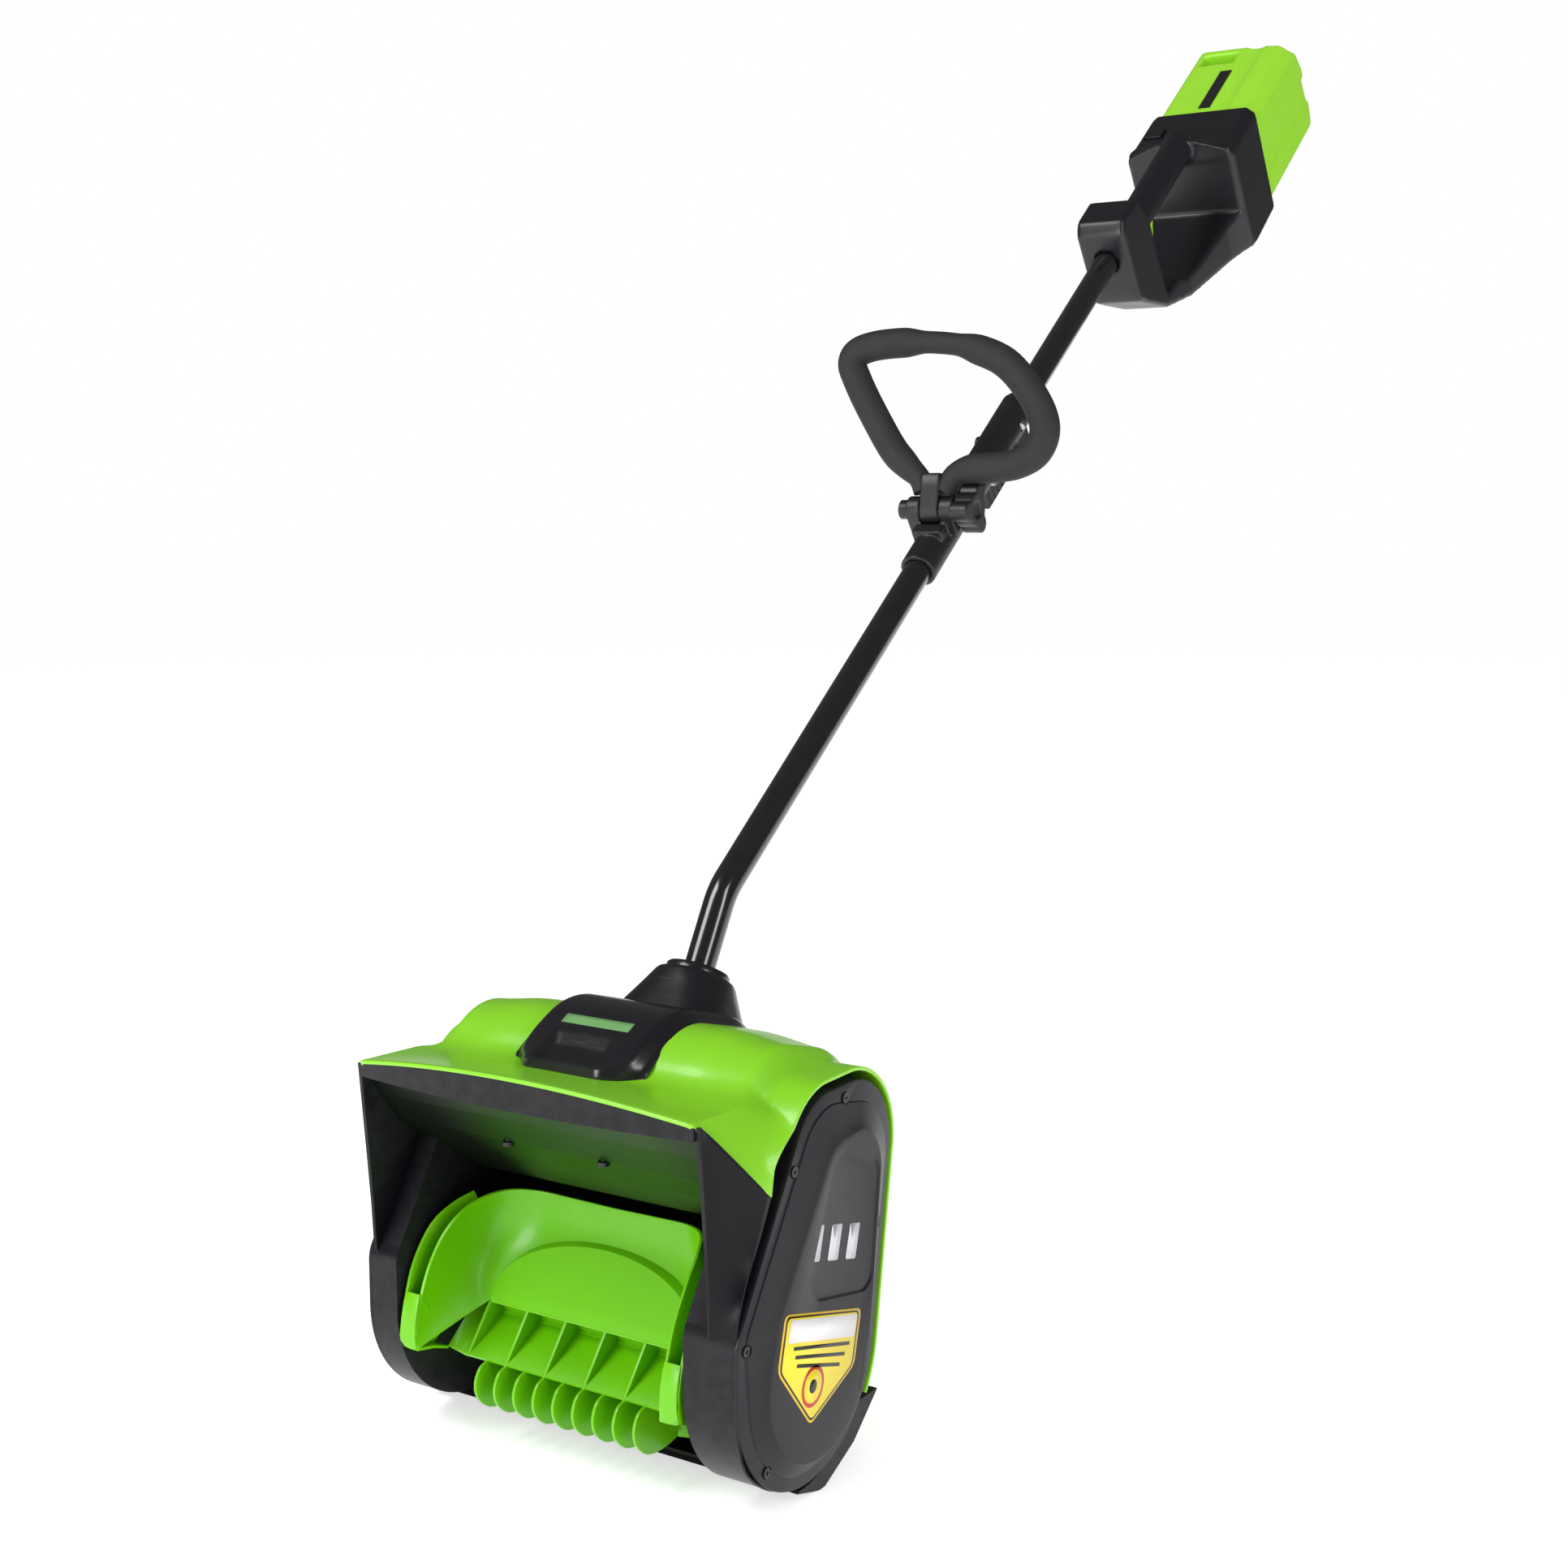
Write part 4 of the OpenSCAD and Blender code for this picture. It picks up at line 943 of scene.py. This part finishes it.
# ---------------------------------------------------------------------------
# Steel inside the head: zinc plated axle, nuts, bearings, motor can and motor
# rotor, and the black pulleys with their ribbed rubber belt.
# ---------------------------------------------------------------------------
zinc = machined("zinc_plate", (0.56, 0.57, 0.59), (0.40, 0.41, 0.43), 0.30, 1.0)
INNER_STEEL = (
    "shaft_mount", "coupler_bolt", "coupler_screw", "spring_button", "axle", "axle_nuts",
    "bearing_right", "bearing_left", "idler_arm", "motor_can", "motor_rotor", "drive_pulley",
    "trigger_spring", "latch_spring",
)
painted(INNER_STEEL, zinc)
pulley_black = moulded("pulley_black", (0.02, 0.02, 0.021), (0.03, 0.03, 0.03), (0.12, 0.12, 0.12), 0.5)
belt_rubber = moulded(
    "belt_rubber", (0.012, 0.012, 0.012), (0.02, 0.02, 0.02), (0.05, 0.05, 0.05), 0.7, grain=600
)
contact_brass = machined("contact_brass", (0.72, 0.46, 0.16), (0.50, 0.30, 0.10), 0.3, 1.0)
painted(("rotor_pulley", "idler_pulley", "trigger_switch", "controller"), pulley_black)
painted(("drive_belt", "harness"), belt_rubber)
painted(("terminal_block", "battery_terminals"), contact_brass)

# ---------------------------------------------------------------------------
# Shaft tubes: 25.4 mm steel tube, bent once above the socket and finished in
# smooth black powder coat that shows a sharp bright streak along it.
# ---------------------------------------------------------------------------
tube_black = machined(
    "tube_powder_coat", (0.006, 0.006, 0.007), (0.010, 0.010, 0.011), 0.16, 0.0, (300.0, 300.0, 300.0)
)
tube_black.node_tree.nodes["Principled BSDF"].inputs["Coat Weight"].default_value = 0.8
tube_black.node_tree.nodes["Principled BSDF"].inputs["Coat Roughness"].default_value = 0.05
TUBE_R = 12.7


def swept_tube(name, line, radii, sides=40, closed=False):
    """Tube along a line in a plane of constant X frame, with its own radius at each point."""
    rows = []
    count = len(line)
    for i, p in enumerate(line):
        before = line[i - 1] if (closed or i) else line[i]
        after = line[(i + 1) % count] if (closed or i < count - 1) else line[i]
        way = (Vector(after) - Vector(before)).normalized()
        across = Vector((1, 0, 0)) if abs(way.x) < 0.9 else Vector((0, 0, 1))
        up = way.cross(across).normalized()
        across = up.cross(way).normalized()
        ring = []
        for j in range(sides):
            a = math.tau * j / sides
            ring.append(tuple(Vector(p) + radii[i] * (math.cos(a) * across + math.sin(a) * up)))
        rows.append(ring)
    if closed:
        rows.append(rows[0])
    return grid_mesh(name, rows, wrap=True)


bend_line = [neck(0, s, 0) for s in (-148, -120, -80, -40, -24)]
bend_line += [bezier(neck(0, -13, 0), (0, *BEND), shaft(0, 13, 0), i / 14) for i in range(15)]
bend_line += [shaft(0, s, 0) for s in (24, 60, 140, 240, 340, 440, 583)]
place(
    "lower_tube_coated",
    swept_tube("lower_tube_coated", bend_line, [TUBE_R] * len(bend_line)),
    tube_black,
    "tube_black",
    stands_for=["lower_tube"],
)
upper_line = [shaft(0, s, 0) for s in (585, 660, 760, 860, 978)]
place(
    "upper_tube_coated",
    swept_tube("upper_tube_coated", upper_line, [TUBE_R] * len(upper_line)),
    tube_black,
    "tube_black",
    stands_for=["upper_tube"],
)

# ---------------------------------------------------------------------------
# Rear handle: two halves of grained black nylon screwed together along the
# middle, with all corners well rounded; the real joint line between them is not drawn.
# ---------------------------------------------------------------------------
handle_black = moulded(
    "handle_black", (0.010, 0.0088, 0.0125), (0.007, 0.0062, 0.0085), (0.07, 0.068, 0.075), 0.32,
    grain=1100, depth=0.00004,
)


def softened(name, nodes, voxel, rounds, keep, material, slot, body, sources=None, reshape=None):
    """A rounded copy of CAD solids: skinned as one, its corners eased, and thinned where it is flat."""
    bm = bmesh.new()
    for side, node in enumerate(sources or nodes):
        part = bmesh.new()
        part.from_mesh(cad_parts[node].data)
        if reshape:
            for v in part.verts:
                v.co = reshape(side, v.co)
        loose = bpy.data.meshes.new("loose")
        part.to_mesh(loose)
        part.free()
        bm.from_mesh(loose)
    joined = bpy.data.meshes.new(name)
    bmesh.ops.remove_doubles(bm, verts=bm.verts, dist=1e-6)
    bm.to_mesh(joined)
    bm.free()
    rough = bpy.data.objects.new("rough", joined)
    bpy.context.scene.collection.objects.link(rough)
    skin = rough.modifiers.new("skin", "REMESH")
    skin.mode = "VOXEL"
    skin.voxel_size = voxel * MM
    ease = rough.modifiers.new("ease", "SMOOTH")
    ease.factor = 0.5
    ease.iterations = rounds
    thin = rough.modifiers.new("thin", "DECIMATE")
    thin.ratio = keep
    graph = bpy.context.evaluated_depsgraph_get()
    graph.update()
    mesh = bpy.data.meshes.new_from_object(rough.evaluated_get(graph))
    mesh.name = name
    bpy.data.objects.remove(rough)
    return place(name, mesh, material, slot, body=body, stands_for=nodes, smooth_angle=70)


WALL_GAIN = 3.0
RECEIVER_START, RECEIVER_FACE = 1120, 1150
RECEIVER_TOP = -7.0
GRIP_HALF = 18
POCKET_HALF, POCKET_ROOF, POCKET_FLOOR = 57.6, -11, -128
HANDLE_SCREWS = [
    (931, 29, 16), (966, 33, 12), (984, -86, 20), (1030, -104, 22), (1172, -26, 44), (1172, -108, 44),
]
LATCH_WELL = [(1191.5, -16), (1191.5, 8), (1211.5, 8), (1211.5, -16)]


def fuller_half(side, co):
    """Thickens the receiver outwards, with a level top, and turns the second half over."""
    c, k = math.cos(SHAFT_LEAN), math.sin(SHAFT_LEAN)
    y, z = co.y / MM - BEND[0], co.z / MM - BEND[1]
    s, n = y * c + z * k, z * c - y * k
    x = co.x / MM
    if s > RECEIVER_FACE and x > GRIP_HALF:
        n = min(n, RECEIVER_TOP)
    if s > RECEIVER_START:
        if x > POCKET_HALF:
            x += WALL_GAIN
        if n > POCKET_ROOF:
            n += WALL_GAIN * smooth(s, RECEIVER_FACE, RECEIVER_FACE + 30)
        if n < POCKET_FLOOR:
            n -= WALL_GAIN
    x -= 0.1
    return MM * Vector(shaft(-x if side else x, s, n))


rear_handle = softened(
    "rear_handle", ["handle_right", "handle_left"], voxel=1.7, rounds=26, keep=0.3,
    material=handle_black, slot="handle_black", body="frame",
    sources=["handle_right", "handle_right"], reshape=fuller_half,
)
well_rows = rounded_prism(-52.3, -29.9, [shaft(0, s, n)[1:] for s, n in LATCH_WELL], 1.0)
well_mesh = grid_mesh("well_cutter", well_rows, wrap=True, caps=True)
well_cutter = bpy.data.objects.new("well_cutter", well_mesh)
bpy.context.scene.collection.objects.link(well_cutter)
handle_cutters = [well_cutter, rod_cutter(-60, -19.5, *shaft(0, 950, 2)[1:], 9.4)]
handle_cutters += [rod_cutter(-70, -x, *shaft(0, s, n)[1:], 4.2) for s, n, x in HANDLE_SCREWS]
carve(rear_handle, handle_cutters)
rear_handle.data.shade_smooth()
rear_handle.data.set_sharp_from_angle(angle=math.radians(50))

# ---------------------------------------------------------------------------
# Controls on the rear handle: green trigger, grey lock button, black battery
# latch; each is a small smooth moulding on its own pivot or slide.
# ---------------------------------------------------------------------------
trigger_green = moulded(
    "trigger_green", (0.28, 0.62, 0.02), (0.22, 0.52, 0.015), (0.5, 0.8, 0.2), 0.30, wear=0.3
)
button_grey = moulded("button_grey", (0.07, 0.068, 0.075), (0.05, 0.05, 0.055), (0.2, 0.2, 0.2), 0.42)
softened("trigger_blade", ["trigger"], 0.6, 6, 0.4, trigger_green, "trigger_green", "trigger")
softened("lock_slide", ["lock_button"], 0.5, 3, 0.4, button_grey, "handle_black", "lock_button")
softened("latch_lever", ["battery_latch"], 0.5, 3, 0.4, handle_black, "handle_black", "battery_latch")

# ---------------------------------------------------------------------------
# Battery: lime green pack with shallow flutes and a hand recess, slid into
# the handle on its rails, with a plain black printed strip along the top.
# ---------------------------------------------------------------------------
pack_green = moulded(
    "pack_green", (0.34, 0.74, 0.03), (0.28, 0.66, 0.022), (0.55, 0.85, 0.25), 0.33,
    wear=0.3, coat=0.1,
)
softened("battery_pack", ["battery"], 1.8, 14, 0.4, pack_green, "green_shell", "battery")
pack_print = printed("pack_print", (0.012, 0.012, 0.012))
painted(["battery_strip"], pack_print)

# ---------------------------------------------------------------------------
# Loop handle: bent tube in a thick black foam sleeve, gripped in a hub that
# tilts between the cheeks of a split clamp and is locked by a lobed knob.
# ---------------------------------------------------------------------------
LOOP_PIVOT = shaft(0, 462, 26)
LOOP_LEAN = math.radians(37.6 + 47.5)


def loop_point(x, up):
    return along(LOOP_LEAN, x, up, 0, start=LOOP_PIVOT[1:])


foam_black = moulded(
    "foam_black", (0.017, 0.0135, 0.0175), (0.012, 0.0095, 0.0122), (0.05, 0.045, 0.05), 0.72,
    grain=2600, depth=0.00012, wear=0.2,
)
LOOP_SHAPE = [
    (-11, 17), (-17, 29), (-31, 41), (-48, 58), (-75, 98), (-89, 122), (-95, 136), (-91, 146),
    (-77, 151.5), (-54, 154), (-20, 154), (12, 151), (37, 145), (66, 132), (90, 108), (105, 84),
    (108, 66), (100, 50), (82, 41), (60, 38), (38, 37), (20, 31), (11, 17),
]
loop_line = spline(LOOP_SHAPE, 130)
foam_radii = []
for i, (x, h) in enumerate(loop_line):
    lump = noise.noise(Vector((x * 0.02, h * 0.02, 3.0)))
    foam_radii.append(10.2 + 3.6 * smooth(abs(x), 14, 40) + 0.3 * lump)
foam_line = [loop_point(x, h) for x, h in loop_line]


def loop_sleeve(name, line, radii, sides=36):
    rows = []
    normal = Vector((0, -math.sin(LOOP_LEAN), math.cos(LOOP_LEAN)))
    for i, p in enumerate(line):
        way = (Vector(line[min(i + 1, len(line) - 1)]) - Vector(line[max(i - 1, 0)])).normalized()
        out = way.cross(normal).normalized()
        ring = []
        for j in range(sides):
            a = math.tau * j / sides
            ring.append(tuple(Vector(p) + radii[i] * (math.cos(a) * out + math.sin(a) * normal)))
        rows.append(ring)
    return grid_mesh(name, rows, wrap=True, caps=True)


sleeve = place(
    "loop_sleeve", loop_sleeve("loop_sleeve", foam_line, foam_radii), foam_black, "foam", body="loop",
    stands_for=["loop_foam", "loop_tube"], smooth_angle=60,
)
clamp_black = moulded(
    "clamp_black", (0.010, 0.009, 0.0115), (0.007, 0.0065, 0.008), (0.06, 0.06, 0.065), 0.38,
    grain=1000, depth=0.00004,
)
HUB_HALF_WIDTH = 9.4
HUB_ROUND = 12.6
HUB_SIDE = ((10, 12.4), (20, 11.6), (29, 11.0), (33, 8.5))
hub_rows = []
for x in (-HUB_HALF_WIDTH, HUB_HALF_WIDTH):
    turns = [math.radians(180 + 180 * i / 24) for i in range(25)]
    hub_outline = [(HUB_ROUND * math.sin(a), -HUB_ROUND * math.cos(a)) for a in turns]
    hub_outline += [(up, -thick) for up, thick in HUB_SIDE]
    hub_outline += [(up, thick) for up, thick in reversed(HUB_SIDE)]
    hub_rows.append([along(LOOP_LEAN, x, up, n, start=LOOP_PIVOT[1:]) for up, n in hub_outline])
hub = place(
    "loop_hub_block",
    grid_mesh("loop_hub_block", hub_rows, wrap=True, caps=True),
    clamp_black,
    "handle_black",
    body="loop",
    stands_for=["loop_hub"],
)
bevelled(hub, 1.6, 3)
softened("split_clamp", ["loop_clamp"], 0.9, 4, 0.4, clamp_black, "handle_black", "frame")
softened("tilt_knob", ["loop_knob"], 0.8, 5, 0.4, clamp_black, "handle_black", "loop_knob")
softened("shaft_coupler", ["coupler"], 0.9, 3, 0.4, clamp_black, "handle_black", "frame")
softened("coupler_star_knob", ["coupler_knob"], 0.7, 4, 0.4, clamp_black, "handle_black", "coupler_knob")
